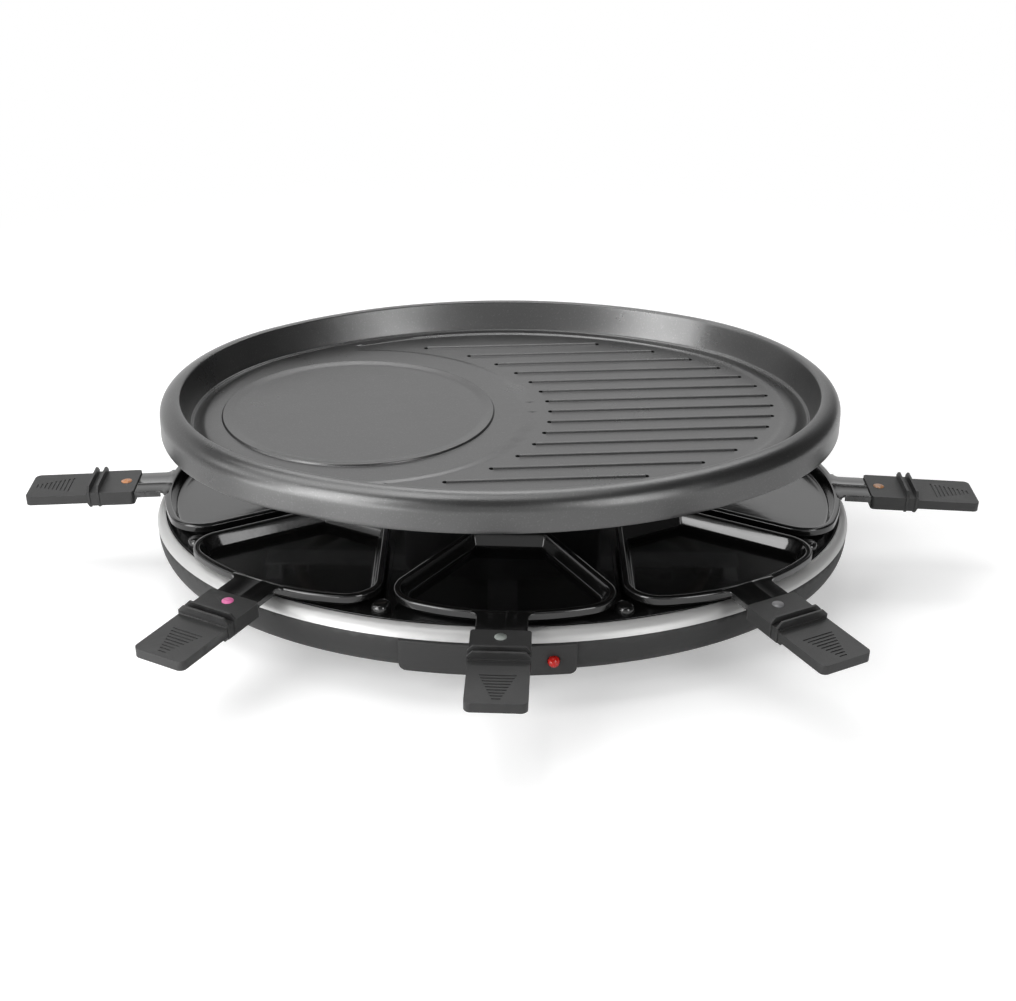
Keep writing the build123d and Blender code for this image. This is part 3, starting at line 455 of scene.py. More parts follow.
def plain_mesh(name, points, faces=(), edges=(), **values):
    """A mesh from points in millimetres, with one value per point for each extra name."""
    mesh = bpy.data.meshes.new(name)
    mesh.from_pydata([Vector(point) * MM for point in points], edges, faces)
    for label, numbers in values.items():
        kind = "FLOAT_VECTOR" if hasattr(numbers[0], "__len__") else "FLOAT"
        field = mesh.attributes.new(label, kind, "POINT")
        for index, number in enumerate(numbers):
            if kind == "FLOAT":
                field.data[index].value = number
            else:
                field.data[index].vector = number
    return mesh


def joined(name, meshes, place=Matrix()):
    """Several meshes as one, moved to their place, with every face turned outwards."""
    made = bmesh.new()
    for mesh in meshes:
        made.from_mesh(mesh)
    bmesh.ops.transform(made, matrix=place, verts=made.verts)
    bmesh.ops.recalc_face_normals(made, faces=made.faces)
    result = bpy.data.meshes.new(name)
    made.to_mesh(result)
    made.free()
    return result


# %% [markdown]
# ## A rule for dishes: rings between a centre and an outline
# The plate and the pans are dishes. Seen from above each has one outline, and seen in
# section one profile. A geometry tree joins the two. Every ring of the mesh is one point of
# the profile, and every column is one point of the outline. The profile says how far a ring
# lies between centre and outline (share), how wide its round middle is (round), how far it
# is moved outwards (x) and how high it lies (z).

# %% Helpers for geometry trees
def geometry_tree(name, inputs):
    """A geometry tree with a mesh in and out and the named inputs between."""
    tree = bpy.data.node_groups.new(name, "GeometryNodeTree")
    tree.interface.new_socket("Mesh", in_out="INPUT", socket_type="NodeSocketGeometry")
    for label, kind in inputs:
        tree.interface.new_socket(label, in_out="INPUT", socket_type=kind)
    tree.interface.new_socket("Mesh", in_out="OUTPUT", socket_type="NodeSocketGeometry")
    return tree, tree.nodes.new("NodeGroupInput"), tree.nodes.new("NodeGroupOutput")


def run_tree(mesh, tree, **settings):
    """Run a geometry tree on a mesh once and keep only the plain mesh it makes."""
    carrier = in_scene(mesh.name, mesh)
    modifier = carrier.modifiers.new(tree.name, "NODES")
    modifier.node_group = tree
    for socket in tree.interface.items_tree:
        label = socket.name.replace(" ", "_")
        if socket.in_out == "INPUT" and label in settings:
            modifier[socket.identifier] = settings[label]
    evaluated = carrier.evaluated_get(bpy.context.evaluated_depsgraph_get())
    made = bpy.data.meshes.new_from_object(evaluated)
    bpy.data.objects.remove(carrier)
    return made


def vectors(tree, operation, first, second=None, scale=None):
    """A vector maths node on pairs of node and output."""
    made = tree.nodes.new("ShaderNodeVectorMath")
    made.operation = operation
    wire(tree, first[0], first[1], made, 0)
    if second is not None:
        wire(tree, second[0], second[1], made, 1)
    if scale is not None:
        wire(tree, scale[0], scale[1], made, "Scale")
    return made


def sampled(tree, geometry, value, index, kind="FLOAT_VECTOR"):
    """The value that a geometry holds at a point's number."""
    made = tree.nodes.new("GeometryNodeSampleIndex")
    made.data_type = kind
    wire(tree, geometry[0], geometry[1], made, "Geometry")
    wire(tree, value[0], value[1], made, "Value")
    wire(tree, index, 0, made, "Index")
    return made


def named(tree, label, kind):
    """A node that reads a named value of the mesh."""
    made = tree.nodes.new("GeometryNodeInputNamedAttribute")
    made.data_type = kind
    made.inputs["Name"].default_value = label
    return made


# %% Tree: ring skin
def ring_skin_tree():
    """Rings of a profile round the columns of an outline."""
    tree, ins, outs = geometry_tree("ring skin", [
        ("Profile", "NodeSocketObject"), ("Finish", "NodeSocketMaterial"), ("Centre", "NodeSocketVector"),
        ("Zone Radius", NUMBER), ("Zone Drop", NUMBER), ("Zone Softness", NUMBER),
    ])
    section = tree.nodes.new("GeometryNodeObjectInfo")
    wire(tree, ins, "Profile", section, "Object")
    count = {}
    for key, source in (("rows", (section, "Geometry")), ("columns", (ins, "Mesh"))):
        count[key] = tree.nodes.new("GeometryNodeAttributeDomainSize")
        wire(tree, source[0], source[1], count[key], 0)
    wide = maths(tree, "ADD", (count["columns"], 0), 1.0)
    grid = put(tree, "GeometryNodeMeshGrid", Size_X=1.0, Size_Y=1.0)
    wire(tree, wide, 0, grid, "Vertices X")
    wire(tree, count["rows"], 0, grid, "Vertices Y")
    number = tree.nodes.new("GeometryNodeInputIndex")
    whole = maths(tree, "DIVIDE", (number, 0), (count["rows"], 0))
    whole_column = maths(tree, "FLOOR", (maths(tree, "ADD", (whole, 0), 0.00001), 0))
    column = maths(tree, "FLOORED_MODULO", (whole_column, 0), (count["columns"], 0))
    passed = maths(tree, "MULTIPLY", (whole_column, 0), (count["rows"], 0))
    row = maths(tree, "SUBTRACT", (number, 0), (passed, 0))
    place = tree.nodes.new("GeometryNodeInputPosition")
    rail = sampled(tree, (ins, "Mesh"), (place, 0), column)
    out_dir = sampled(tree, (ins, "Mesh"), (named(tree, "outwards", "FLOAT_VECTOR"), 0), column)
    step = sampled(tree, (section, "Geometry"), (place, 0), row)
    share = sampled(tree, (section, "Geometry"), (named(tree, "share", "FLOAT"), 0), row, "FLOAT")
    middle = sampled(tree, (section, "Geometry"), (named(tree, "round", "FLOAT"), 0), row, "FLOAT")
    step_parts = tree.nodes.new("ShaderNodeSeparateXYZ")
    wire(tree, step, 0, step_parts, 0)
    # Centre, plus the share of the way to the outline, plus the round middle, plus the offset
    spoke = vectors(tree, "SUBTRACT", (rail, 0), (ins, "Centre"))
    heading = vectors(tree, "NORMALIZE", (spoke, 0))
    reach = vectors(tree, "SCALE", (spoke, 0), scale=(share, 0))
    rest = maths(tree, "SUBTRACT", 1.0, (share, 0))
    inner = maths(tree, "MULTIPLY", (rest, 0), (middle, 0))
    bulge = vectors(tree, "SCALE", (heading, 0), scale=(inner, 0))
    moved = vectors(tree, "SCALE", (out_dir, 0), scale=(step_parts, 0))
    flat = vectors(tree, "ADD", (vectors(tree, "ADD", (reach, 0), (bulge, 0)), 0), (moved, 0))
    # A zone outside a circle round the centre lies a little lower on one side
    away = vectors(tree, "LENGTH", (flat, 0))
    zone_end = maths(tree, "ADD", (ins, "Zone Radius"), (ins, "Zone Softness"))
    outside = tree.nodes.new("ShaderNodeMapRange")
    outside.interpolation_type = "SMOOTHSTEP"
    wire(tree, away, 1, outside, "Value")
    wire(tree, ins, "Zone Radius", outside, "From Min")
    wire(tree, zone_end, 0, outside, "From Max")
    inside = put(tree, "ShaderNodeMapRange", From_Min=1.0, From_Max=0.98)
    wire(tree, share, 0, inside, "Value")
    flat_parts = tree.nodes.new("ShaderNodeSeparateXYZ")
    wire(tree, flat, 0, flat_parts, 0)
    right = put(tree, "ShaderNodeMapRange", From_Min=0.0, From_Max=0.004)
    wire(tree, flat_parts, "X", right, "Value")
    mask = maths(tree, "MULTIPLY", (maths(tree, "MULTIPLY", (outside, 0), (inside, 0)), 0), (right, 0))
    drop = maths(tree, "MULTIPLY", (mask, 0), (ins, "Zone Drop"))
    height = maths(tree, "SUBTRACT", (step_parts, 2), (drop, 0))
    lift = tree.nodes.new("ShaderNodeCombineXYZ")
    wire(tree, height, 0, lift, "Z")
    level = vectors(tree, "ADD", (flat, 0), (ins, "Centre"))
    final = vectors(tree, "ADD", (level, 0), (lift, 0))
    shape = tree.nodes.new("GeometryNodeSetPosition")
    wire(tree, grid, "Mesh", shape, "Geometry")
    wire(tree, final, 0, shape, "Position")
    weld = put(tree, "GeometryNodeMergeByDistance", Distance=0.000002)
    wire(tree, shape, 0, weld, "Geometry")
    whole_mesh = tree.nodes.new("GeometryNodeRealizeInstances")
    wire(tree, weld, 0, whole_mesh, 0)
    paint = tree.nodes.new("GeometryNodeSetMaterial")
    wire(tree, whole_mesh, 0, paint, "Geometry")
    wire(tree, ins, "Finish", paint, "Material")
    wire(tree, paint, 0, outs, 0)
    return tree


ring_skin = ring_skin_tree()


def dish(name, outline, outwards, rows, finish, centre=(0, 0, 0), zone=(0, 0, 1)):
    """Run the ring skin on an outline and on rows of (x, z, share, round)."""
    rails = plain_mesh(name, outline, outwards=outwards)
    section = plain_mesh(name + " profile", [(x, 0, z) for x, z, share, middle in rows],
                         share=[row[2] for row in rows], round=[row[3] * MM for row in rows])
    holder = in_scene(name + " profile", section)
    made = run_tree(rails, ring_skin, Profile=holder, Finish=finish, Centre=Vector(centre) * MM,
                    Zone_Radius=zone[0] * MM, Zone_Drop=zone[1] * MM, Zone_Softness=zone[2] * MM)
    bpy.data.objects.remove(holder)
    return made


print("tree:", ring_skin.name, "with", len(ring_skin.nodes), "nodes")

# %% [markdown]
# ## The grill plate
# Its outline is an oval of four arcs. Each column of the plate leaves the middle of the
# pancake disc, so that the disc and its bead are true circles, and ends square to the
# outer wall. The same list of rows runs over the floor, down into the drip channel, up the
# basin's wall, over the rounded rim and back underneath.

# %% Outline of the plate
plate_half, end_radius = (180.0, 142.3), 125.0
plate_place = Matrix.Translation(Vector((-0.9, 0, 0)) * MM) @ Matrix.Rotation(radians(5.0), 4, "Z")
disc_x, disc_radius = -76.3, 65.2
floor_edge = 28.5


def four_arcs(half, radius):
    """Centre, radius, first angle and sweep of each arc of an oval."""
    across = (half[0] ** 2 + half[1] ** 2 - 2 * half[0] * radius) / (2 * (half[1] - radius))
    side, over = half[0] - radius, across - half[1]
    knee = atan2(over, side)
    return ((side, 0, radius, -knee, 2 * knee), (0, -over, across, knee, pi - 2 * knee),
            (-side, 0, radius, pi - knee, 2 * knee), (0, over, across, pi + knee, pi - 2 * knee))


def oval_columns(half, radius, change, centre_x, columns):
    """Points and outward directions on the oval, evenly turned round an inner point."""
    dense, arc_steps = [], 900
    for x, y, arc_radius, start, sweep in four_arcs(half, radius):
        for step in range(arc_steps):
            angle = start + sweep * step / arc_steps
            way = Vector((cos(angle), sin(angle), 0))
            dense.append((Vector((x, y, 0)) + way * (arc_radius + change), way))
    by_turn = sorted((atan2(point.y, point.x - centre_x), point, way) for point, way in dense)
    turns = [entry[0] for entry in by_turn]
    points, ways, low = [], [], 0
    for column in range(columns):
        wanted = -pi + 2 * pi * (column + 0.5) / columns
        while low < len(turns) - 2 and turns[low + 1] < wanted:
            low += 1
        span = turns[low + 1] - turns[low]
        mix = min(max((wanted - turns[low]) / span, 0), 1) if span else 0
        points.append(by_turn[low][1].lerp(by_turn[low + 1][1], mix))
        ways.append(by_turn[low][2].lerp(by_turn[low + 1][2], mix).normalized())
    return points, ways


plate_columns = 380
plate_points, plate_ways = oval_columns(plate_half, end_radius, -floor_edge, disc_x, plate_columns)
print("plate columns:", len(plate_points))

# %% Rows of the plate
floor_z, channel_z, rim_top_z, shoulder_z, foot_z, under_z = 95.2, 92.2, 108.4, 100.0, 90.1, 90.2
bead_width, bead_height = 7.0, 1.1
# The bead as shares of its width and of its height: a long inner slope and a short outer one
bead_section = (
    (0.03, 0.01), (0.12, 0.06), (0.25, 0.19), (0.4, 0.4), (0.55, 0.62), (0.68, 0.8), (0.76, 0.9),
    (0.82, 0.97), (0.855, 1.0), (0.875, 0.98), (0.895, 0.88), (0.93, 0.5), (0.965, 0.14), (0.985, 0.02),
)


def at_edge(offset, height):
    """A row square to the outer wall; the offset is measured from that wall inwards."""
    return (floor_edge + offset, height, 1.0, 0.0)


rows = [(0, floor_z, 0.0, r) for r in (0.0, 12.0, 24.0, 36.0, 47.0, 56.0, 62.0, disc_radius - 0.6)]
for share, rise in bead_section:
    rows.append((0, floor_z + bead_height * rise, 0.0, disc_radius + bead_width * share))
bead_end = disc_radius + bead_width
rows += [(0, floor_z, 0.0, bead_end), (0, floor_z, 0.004, bead_end), (0, floor_z, 0.02, bead_end)]
floor_rings = 44
rows += [(0, floor_z, 0.02 + 0.955 * step / floor_rings, bead_end) for step in range(1, floor_rings + 1)]
rows += [(0, floor_z, share, bead_end) for share in (0.982, 0.989, 0.995)]
rows += [at_edge(offset, height) for offset, height in (
    (-28.5, floor_z), (-27.5, floor_z - 0.01), (-26.5, floor_z - 0.05), (-25.5, floor_z - 0.11),
    (-24.5, floor_z - 0.19), (-23.5, floor_z - 0.3), (-22.7, floor_z - 0.46), (-22.0, floor_z - 0.72),
    (-21.3, floor_z - 1.1), (-20.4, floor_z - 1.65), (-19.4, floor_z - 2.2), (-18.4, floor_z - 2.65),
    (-17.5, channel_z + 0.08), (-16.9, channel_z), (-16.5, channel_z + 0.05), (-16.2, channel_z + 0.2),
    (-16.02, channel_z + 0.42), (-15.85, channel_z + 0.62), (-15.6, channel_z + 0.7),
    (-15.45, channel_z + 0.74), (-15.28, channel_z + 0.95), (-15.0, channel_z + 1.7), (-14.0, 97.0),
    (-13.0, 100.35), (-12.0, 103.7), (-11.35, 105.9), (-11.05, 106.9), (-10.85, 107.5),
    (-10.6, 107.95), (-10.2, 108.25), (-9.7, 108.4),
)]
rim_round, rim_steps = 9.7, 24
for step in range(1, rim_steps + 1):
    angle = radians(90 - 90 * step / rim_steps)
    height = shoulder_z + (rim_top_z - shoulder_z) * sin(angle)
    rows.append(at_edge(rim_round * (cos(angle) - 1), height))
rows += [at_edge(offset, height) for offset, height in (
    (0, 98.0), (0, 96.0), (0, 94.0), (0, 92.0), (0, foot_z + 0.6), (-0.12, foot_z + 0.22),
    (-0.4, foot_z + 0.03), (-0.8, foot_z), (-2.4, foot_z), (-2.9, foot_z + 0.05), (-3.2, foot_z + 0.4),
    (-3.2, 94.0), (-3.2, shoulder_z), (-3.9, 102.2), (-5.6, 103.6), (-8.3, 103.6), (-8.85, 103.2),
    (-10.0, 99.6), (-12.2, 91.0), (-12.3, 90.4), (-12.6, under_z), (-13.4, under_z), (-24.0, under_z),
)]
rows += [(0, under_z, 0.6, 60.0), (0, under_z, 0.0, 40.0), (0, under_z, 0.0, 0.0)]
print("plate rows:", len(rows))

# %% Tree: ribs along their lines
def rib_tree():
    """A low rounded bar along every line, thinner towards both ends."""
    tree, ins, outs = geometry_tree("ribs on lines", [
        ("Section", "NodeSocketObject"), ("Finish", "NodeSocketMaterial"),
        ("Step", NUMBER), ("Tip Length", NUMBER),
    ])
    lines = tree.nodes.new("GeometryNodeMeshToCurve")
    wire(tree, ins, "Mesh", lines, 0)
    finer = tree.nodes.new("GeometryNodeResampleCurve")
    finer.mode = "LENGTH"
    wire(tree, lines, 0, finer, 0)
    wire(tree, ins, "Step", finer, "Length")
    along = tree.nodes.new("GeometryNodeSplineParameter")
    total = tree.nodes.new("GeometryNodeSplineLength")
    left = maths(tree, "SUBTRACT", (total, 0), (along, "Length"))
    nearest = maths(tree, "MINIMUM", (left, 0), (along, "Length"))
    share = maths(tree, "DIVIDE", (nearest, 0), (ins, "Tip Length"))
    capped = maths(tree, "MINIMUM", (share, 0), 1.0)
    spare = maths(tree, "SUBTRACT", 1.0, (capped, 0))
    curved = maths(tree, "SUBTRACT", 1.0, (maths(tree, "MULTIPLY", (spare, 0), (spare, 0)), 0))
    size = maths(tree, "SQRT", (maths(tree, "MAXIMUM", (curved, 0), 0.01), 0))
    thick = tree.nodes.new("GeometryNodeSetCurveRadius")
    wire(tree, finer, 0, thick, 0)
    wire(tree, size, 0, thick, "Radius")
    upright = tree.nodes.new("GeometryNodeSetCurveNormal")
    upright.mode = "Z_UP"
    wire(tree, thick, 0, upright, 0)
    section = tree.nodes.new("GeometryNodeObjectInfo")
    wire(tree, ins, "Section", section, "Object")
    ring = tree.nodes.new("GeometryNodeMeshToCurve")
    wire(tree, section, "Geometry", ring, 0)
    bars = put(tree, "GeometryNodeCurveToMesh", Fill_Caps=True)
    wire(tree, upright, 0, bars, "Curve")
    wire(tree, ring, 0, bars, "Profile Curve")
    whole = tree.nodes.new("GeometryNodeRealizeInstances")
    wire(tree, bars, 0, whole, 0)
    paint = tree.nodes.new("GeometryNodeSetMaterial")
    wire(tree, whole, 0, paint, "Geometry")
    wire(tree, ins, "Finish", paint, "Material")
    wire(tree, paint, 0, outs, 0)
    return tree


rib_lines = rib_tree()


def bars_on_lines(name, lines, section_points, finish, step, tip):
    """Run the rib tree on pairs of end points, with a closed section of (across, up)."""
    points = [point for pair in lines for point in pair]
    pairs = [(2 * index, 2 * index + 1) for index in range(len(lines))]
    base = plain_mesh(name, points, edges=pairs)
    last = len(section_points)
    section = plain_mesh(name + " section", [(across, -up, 0) for across, up in section_points],
                         edges=[(index, (index + 1) % last) for index in range(last)])
    holder = in_scene(name + " section", section)
    made = run_tree(base, rib_lines, Section=holder, Finish=finish, Step=step * MM, Tip_Length=tip * MM)
    bpy.data.objects.remove(holder)
    return made


# %% Plate with its ribs
rib_rows, rib_pitch, rib_half, rib_height = 14, 14.2, 1.6, 1.15
rib_sink, rib_roundness, rib_sides = 0.5, 1.3, 12
rib_field_half, rib_field_reach, disc_clear = 103.0, 146.9, 100.0
# The pit values size and place flat discs at the rib ends, painted dark as the shade of a pit
pit_shade_room, pit_shade_half_x, pit_shade_half_y, pit_shade_sides = 2.6, 1.3, 1.5, 16
rib_step, rib_tip, pit_shade_out, pit_shade_back = 0.6, 1.5, 0.8, 0.3
# Right of the disc, outside a circle round its middle, the floor lies a little lower
zone_radius, zone_drop, zone_softness = 90.0, 0.6, 2.4
rib_base_z = floor_z - zone_drop
plate_finish = finishes["coated_cast_aluminium"]
lines = []
for row in range(rib_rows):
    y = (row - (rib_rows - 1) / 2) * rib_pitch
    left = disc_x + sqrt(disc_clear ** 2 - y ** 2)
    right = rib_field_reach * sqrt(1 - (y / rib_field_half) ** 2)
    lines.append(((left + pit_shade_room, y, rib_base_z), (right - pit_shade_room, y, rib_base_z)))
rib_section = []
for step in range(rib_sides + 1):
    rise = sin(pi * step / rib_sides) ** rib_roundness
    rib_section.append((rib_half * (1 - 2 * step / rib_sides), rib_height * rise))
rib_section += [(-rib_half, -rib_sink), (rib_half, -rib_sink)]
ribs = bars_on_lines("ribs", lines, rib_section, plate_finish, rib_step, rib_tip)
# At each rib end a flat disc lies just above the floor; the plate's finish paints it near black as
# painted pit shade
pit_shade_z = rib_base_z + 0.03
pit_shade_discs = []
turns = [2 * pi * step / pit_shade_sides for step in range(pit_shade_sides)]
for pair in lines:
    for (x, y, z), side in zip(pair, (-1, 1)):
        x, y = x + side * pit_shade_out, y + pit_shade_back
        ring = [(x + pit_shade_half_x * cos(turn), y + pit_shade_half_y * sin(turn), pit_shade_z) for turn in turns]
        pit_shade_discs.append(plain_mesh("pit", ring, faces=[tuple(range(pit_shade_sides))]))
shell = dish("cast plate", plate_points, plate_ways, rows, plate_finish,
             (disc_x, 0, 0), (zone_radius, zone_drop, zone_softness))
cast = joined("grill_plate_dressed", [shell, ribs] + pit_shade_discs, plate_place)
# Points at the discs' height carry the mark for the painted pit shade
pit_shade_mask = cast.attributes.new("pit", "FLOAT", "POINT")
for index, point in enumerate(cast.vertices):
    pit_shade_mask.data[index].value = 1.0 if abs(point.co.z - pit_shade_z * MM) < 0.004 * MM else 0.0
plate = piece_from(cast, "grill_plate")
print("plate triangles:", 2 * len(plate.data.polygons))

# %% [markdown]
# ## The pans
# All eight pans are one wedge. Its outline has a straight back, two straight sides and a
# round front, with rounded corners. The ring skin makes the pan once, in its own frame with
# the handle along +X and the dot at the middle, and each copy is turned into its place.

# %% Outline of a pan
def rounded_loop(corners, counts):
    """Points and outward directions round a closed line of arcs and straights.

    Each entry is (x, y, radius, first angle, last angle); straights join the arcs.
    """
    points, ways = [], []
    for (x, y, radius, first, last), (arc_steps, line_steps), after in zip(
            corners, counts, corners[1:] + corners[:1]):
        for step in range(arc_steps + 1):
            angle = radians(first + (last - first) * step / arc_steps)
            way = Vector((cos(angle), sin(angle), 0))
            points.append(Vector((x, y, 0)) + way * radius)
            ways.append(way)
        start = Vector((cos(radians(after[3])), sin(radians(after[3])), 0))
        target = Vector((after[0], after[1], 0)) + start * after[2]
        for step in range(1, line_steps):
            points.append(points[-1].lerp(target, 1 / (line_steps - step + 1)))
            ways.append(start)
    return points, ways


pan_length, pan_half, pan_flare = 88.2, 20.4, 30.0
front_radius, front_corner, back_corner = 113.0, 18.0, 5.0
rim_to_dot = 22.4
back_x = -rim_to_dot - pan_length
flare = radians(pan_flare)
side_way = Vector((-sin(flare), cos(flare), 0))
front_x = -rim_to_dot - front_radius
# Centre of the corner at the back: inside both the back line and the side line
side_start = Vector((back_x, pan_half, 0))
back_y = pan_half + back_corner * (tan(flare) - 1 / cos(flare))
# Centre of the corner at the front: as far from the side line as from the front arc
near = front_radius - front_corner
foot = side_start - side_way * front_corner
line_way = Vector((cos(flare), sin(flare), 0))
offset = foot - Vector((front_x, 0, 0))
half_b = offset.dot(line_way)
reach = -half_b + sqrt(half_b ** 2 - (offset.length_squared - near ** 2))
corner = foot + line_way * reach
turn_out = degrees(atan2(corner.y, corner.x - front_x))
pan_loop = [
    (front_x, 0, front_radius, -turn_out, turn_out),
    (corner.x, corner.y, front_corner, turn_out, 90 + pan_flare),
    (back_x + back_corner, back_y, back_corner, 90 + pan_flare, 180),
    (back_x + back_corner, -back_y, back_corner, 180, 270 - pan_flare),
    (corner.x, -corner.y, front_corner, 270 - pan_flare, 360 - turn_out),
]
pan_points, pan_ways = rounded_loop(pan_loop, [(44, 0), (22, 26), (10, 16), (10, 26), (22, 0)])
pan_centre = (-rim_to_dot - 0.46 * pan_length, 0, 0)
print("pan columns:", len(pan_points))

# %% Rows of a pan
rim_z = 50.0
pan_rows = [(x, rim_z + z, share, 0.0) for x, z, share in (
    (0.0, -7.6, 0.0), (-1.0, -7.6, 0.3), (-2.0, -7.6, 0.6), (-3.0, -7.6, 0.82), (-3.5, -7.6, 0.895),
    (-3.5, -7.55, 0.912), (-3.5, -7.38, 0.926), (-3.5, -7.1, 0.937), (-3.5, -6.7, 0.946),
    (-3.5, -6.1, 0.953), (-3.5, -3.5, 0.975), (-3.5, -1.1, 0.996), (-3.45, -0.7, 1.0), (-3.3, -0.35, 1.0),
    (-3.05, -0.12, 1.0), (-2.7, -0.02, 1.0), (-2.4, 0.0, 1.0), (-1.3, 0.0, 1.0), (-0.9, -0.03, 1.0),
    (-0.5, -0.15, 1.0),
    (-0.2, -0.4, 1.0), (-0.04, -0.75, 1.0), (0.0, -1.2, 1.0), (0.0, -3.0, 1.0), (-0.05, -3.7, 1.0),
    (-0.3, -3.95, 1.0), (-0.7, -3.95, 1.0), (-1.0, -3.7, 1.0), (-1.1, -1.6, 1.0), (-1.6, -1.2, 1.0),
    (-2.3, -1.25, 1.0), (-2.6, -1.7, 1.0), (-2.6, -3.5, 0.984), (-2.6, -7.0, 0.955), (-2.7, -7.9, 0.945),
    (-3.1, -8.35, 0.93), (-3.5, -8.5, 0.91), (0.0, -8.5, 0.0),
)]
pan_shell = dish("pan", pan_points, pan_ways, pan_rows, finishes["pan_coating"], pan_centre)
print("pan rows:", len(pan_rows), "triangles:", 2 * len(pan_shell.polygons))

# %% Tongue between pan and handle
handle_tilt = radians(2.9)
tongue_half, tongue_thick, tongue_drop = 12.3, 1.4, 1.0


def loop_skin(name, loops):
    """A closed skin over equal loops of points, with a flat cap at each end."""
    count = len(loops[0])
    points = [point for loop in loops for point in loop]
    faces = [tuple(reversed(range(count))), tuple(range(len(points) - count, len(points)))]
    for layer in range(len(loops) - 1):
        for index in range(count):
            after = (index + 1) % count
            start = layer * count
            faces.append((start + index, start + after, start + count + after, start + count + index))
    return plain_mesh(name, points, faces)


def slab_loop(u, half, low, high, edge, crease=0.0):
    """One cross-section of a flat bar: rounded sides and a slight fold along the top."""
    loop, inset = [], 0.3
    fold_at, fold_half, step_at = 0.15, 0.06, 0.12
    for side in (1, -1):
        for step in range(5):
            angle = radians(90 * step / 4) if side == 1 else radians(90 + 90 * step / 4)
            loop.append((u, side * (half - edge) + edge * cos(angle), high - edge + edge * sin(angle)))
        if side == 1:
            for across in (0.5, 0.2, 0.15, 0.1, -0.5):
                fold = crease * max(0.0, 1 - abs(across - fold_at) / fold_half)
                loop.append((u, across * half, high + fold - 0.25 * crease * (across < step_at)))
    loop += [(u, -half + inset, low), (u, half - inset, low)]
    return loop


rim_end, tongue_fillet = -rim_to_dot, 3.0
tongue_loops = []
for u in (-25.6, -25.3, -24.6, -23.4, -22.4, -22.0, -21.4, -20.6, -19.6, -18.0, -12.0, -5.2):
    gap = min(max(u - rim_end, 0.0), tongue_fillet)
    flared = tongue_half + (tongue_fillet - sqrt(tongue_fillet ** 2 - (tongue_fillet - gap) ** 2))
    dip = 1.0 if u < -25.5 else 0.45 if u < -25.2 else 0.0
    under, over = -tongue_drop - tongue_thick, -tongue_drop - 0.9 * dip
    tongue_loops.append(slab_loop(u, flared, under, over, 0.45, 0.22))
tongue = loop_skin("tongue", tongue_loops)
flanges = [loop_skin("flange", [slab_loop(u, 0.7, -tongue_drop - 3.6, -tongue_drop - 0.1, 0.35)
                                for u in (-20.0, -19.4, -12.0, -5.2)]) for side in (1, -1)]
for side, mesh in zip((1, -1), flanges):
    mesh.transform(Matrix.Translation((0, side * (tongue_half - 0.7) * MM, 0)))
tilted = Matrix.Translation((0, 0, rim_z * MM)) @ Matrix.Rotation(handle_tilt, 4, "Y")
for mesh in [tongue] + flanges:
    mesh.transform(tilted)
print("tongue points:", len(tongue.vertices))

# %% Eight pans in their places
pan_places = {
    "front": (-1.15, -167.7, -92.4), "front_right": (131.5, -134.7, -60.0), "right": (205.0, 0.0, 0.0),
    "rear_right": (131.5, 134.7, 60.0), "rear": (0.0, 167.7, 90.0), "rear_left": (-131.5, 134.7, 120.0),
    "left": (-205.0, 0.0, 180.0), "front_left": (-131.5, -134.7, -120.0),
}
for spot, (x, y, angle) in pan_places.items():
    place = Matrix.Translation((x * MM, y * MM, 0)) @ Matrix.Rotation(radians(angle), 4, "Z")
    copy = joined(f"pan_{spot}_dressed", [pan_shell, tongue] + flanges, place)
    piece_from(copy, f"pan_{spot}")
print("pans:", len(pan_places))

# %% [markdown]
# ## The other nodes
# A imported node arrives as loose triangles, so its curves show facets. A copy with its
# points merged and its normals smoothed across soft bends looks like the real surface,
# and a narrow bevel rounds the edges that a mould or press never leaves sharp.

# %% Helper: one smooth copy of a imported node
def smooth_copy(node, bevel):
    """Copy a node, merge its points, round its edges and let the copy stand for it."""
    mesh = frame["nodes"][node].data.copy()
    made = bmesh.new()
    made.from_mesh(mesh)
    bmesh.ops.remove_doubles(made, verts=made.verts, dist=0.002 * MM)
    if bevel:
        bmesh.ops.dissolve_limit(made, angle_limit=radians(0.5), verts=made.verts, edges=made.edges)
    made.to_mesh(mesh)
    made.free()
    piece = in_scene(node + "_dressed", mesh)
    if bevel:
        rounder = piece.modifiers.new("bevel", "BEVEL")
        rounder.width = bevel * MM
        rounder.segments = 3
        rounder.limit_method = "ANGLE"
        rounder.angle_limit = SOFT_NODE
        rounder.harden_normals = True
        evaluated = piece.evaluated_get(bpy.context.evaluated_depsgraph_get())
        piece.data = bpy.data.meshes.new_from_object(evaluated)
        piece.modifiers.clear()
    else:
        piece.data.shade_smooth()
        piece.data.set_sharp_from_angle(angle=SOFT_NODE)
    stand_in(piece, node)


# %% Dress the other nodes
rounding = {"pan_tray": 0.5, "control_panel": 0.6, "cord_inlet": 0.4, "plate_carrier": 0.3}
rounding.update({f"handle_{spot}": 0.45 for spot in pan_places})
for node in sorted(set(frame["nodes"]) - dressed):
    smooth_copy(node, rounding.get(node, 0.0))
print("dressed:", len(dressed), "of", len(frame["nodes"]), "nodes")

# %% [markdown]
# ## Floor, walls and light
# The grill stands on a white table in a white studio. The table keeps a soft shadow near the
# base and turns plain white farther out. Dark coated metal has hardly any colour of its
# own, so its shape is told by what it reflects: a tall soft box at the front left with a
# small low one before it, a weak one at the left, a narrow one at the front right, three
# overhead, and a dark side of the room at the right.

# %% White table
# A faint glow of its own, and the distances in metres between which it turns plain white
glow_seen, glow_mirrored = 0.36, 0.15
white_from, white_at = 0.36, 0.8


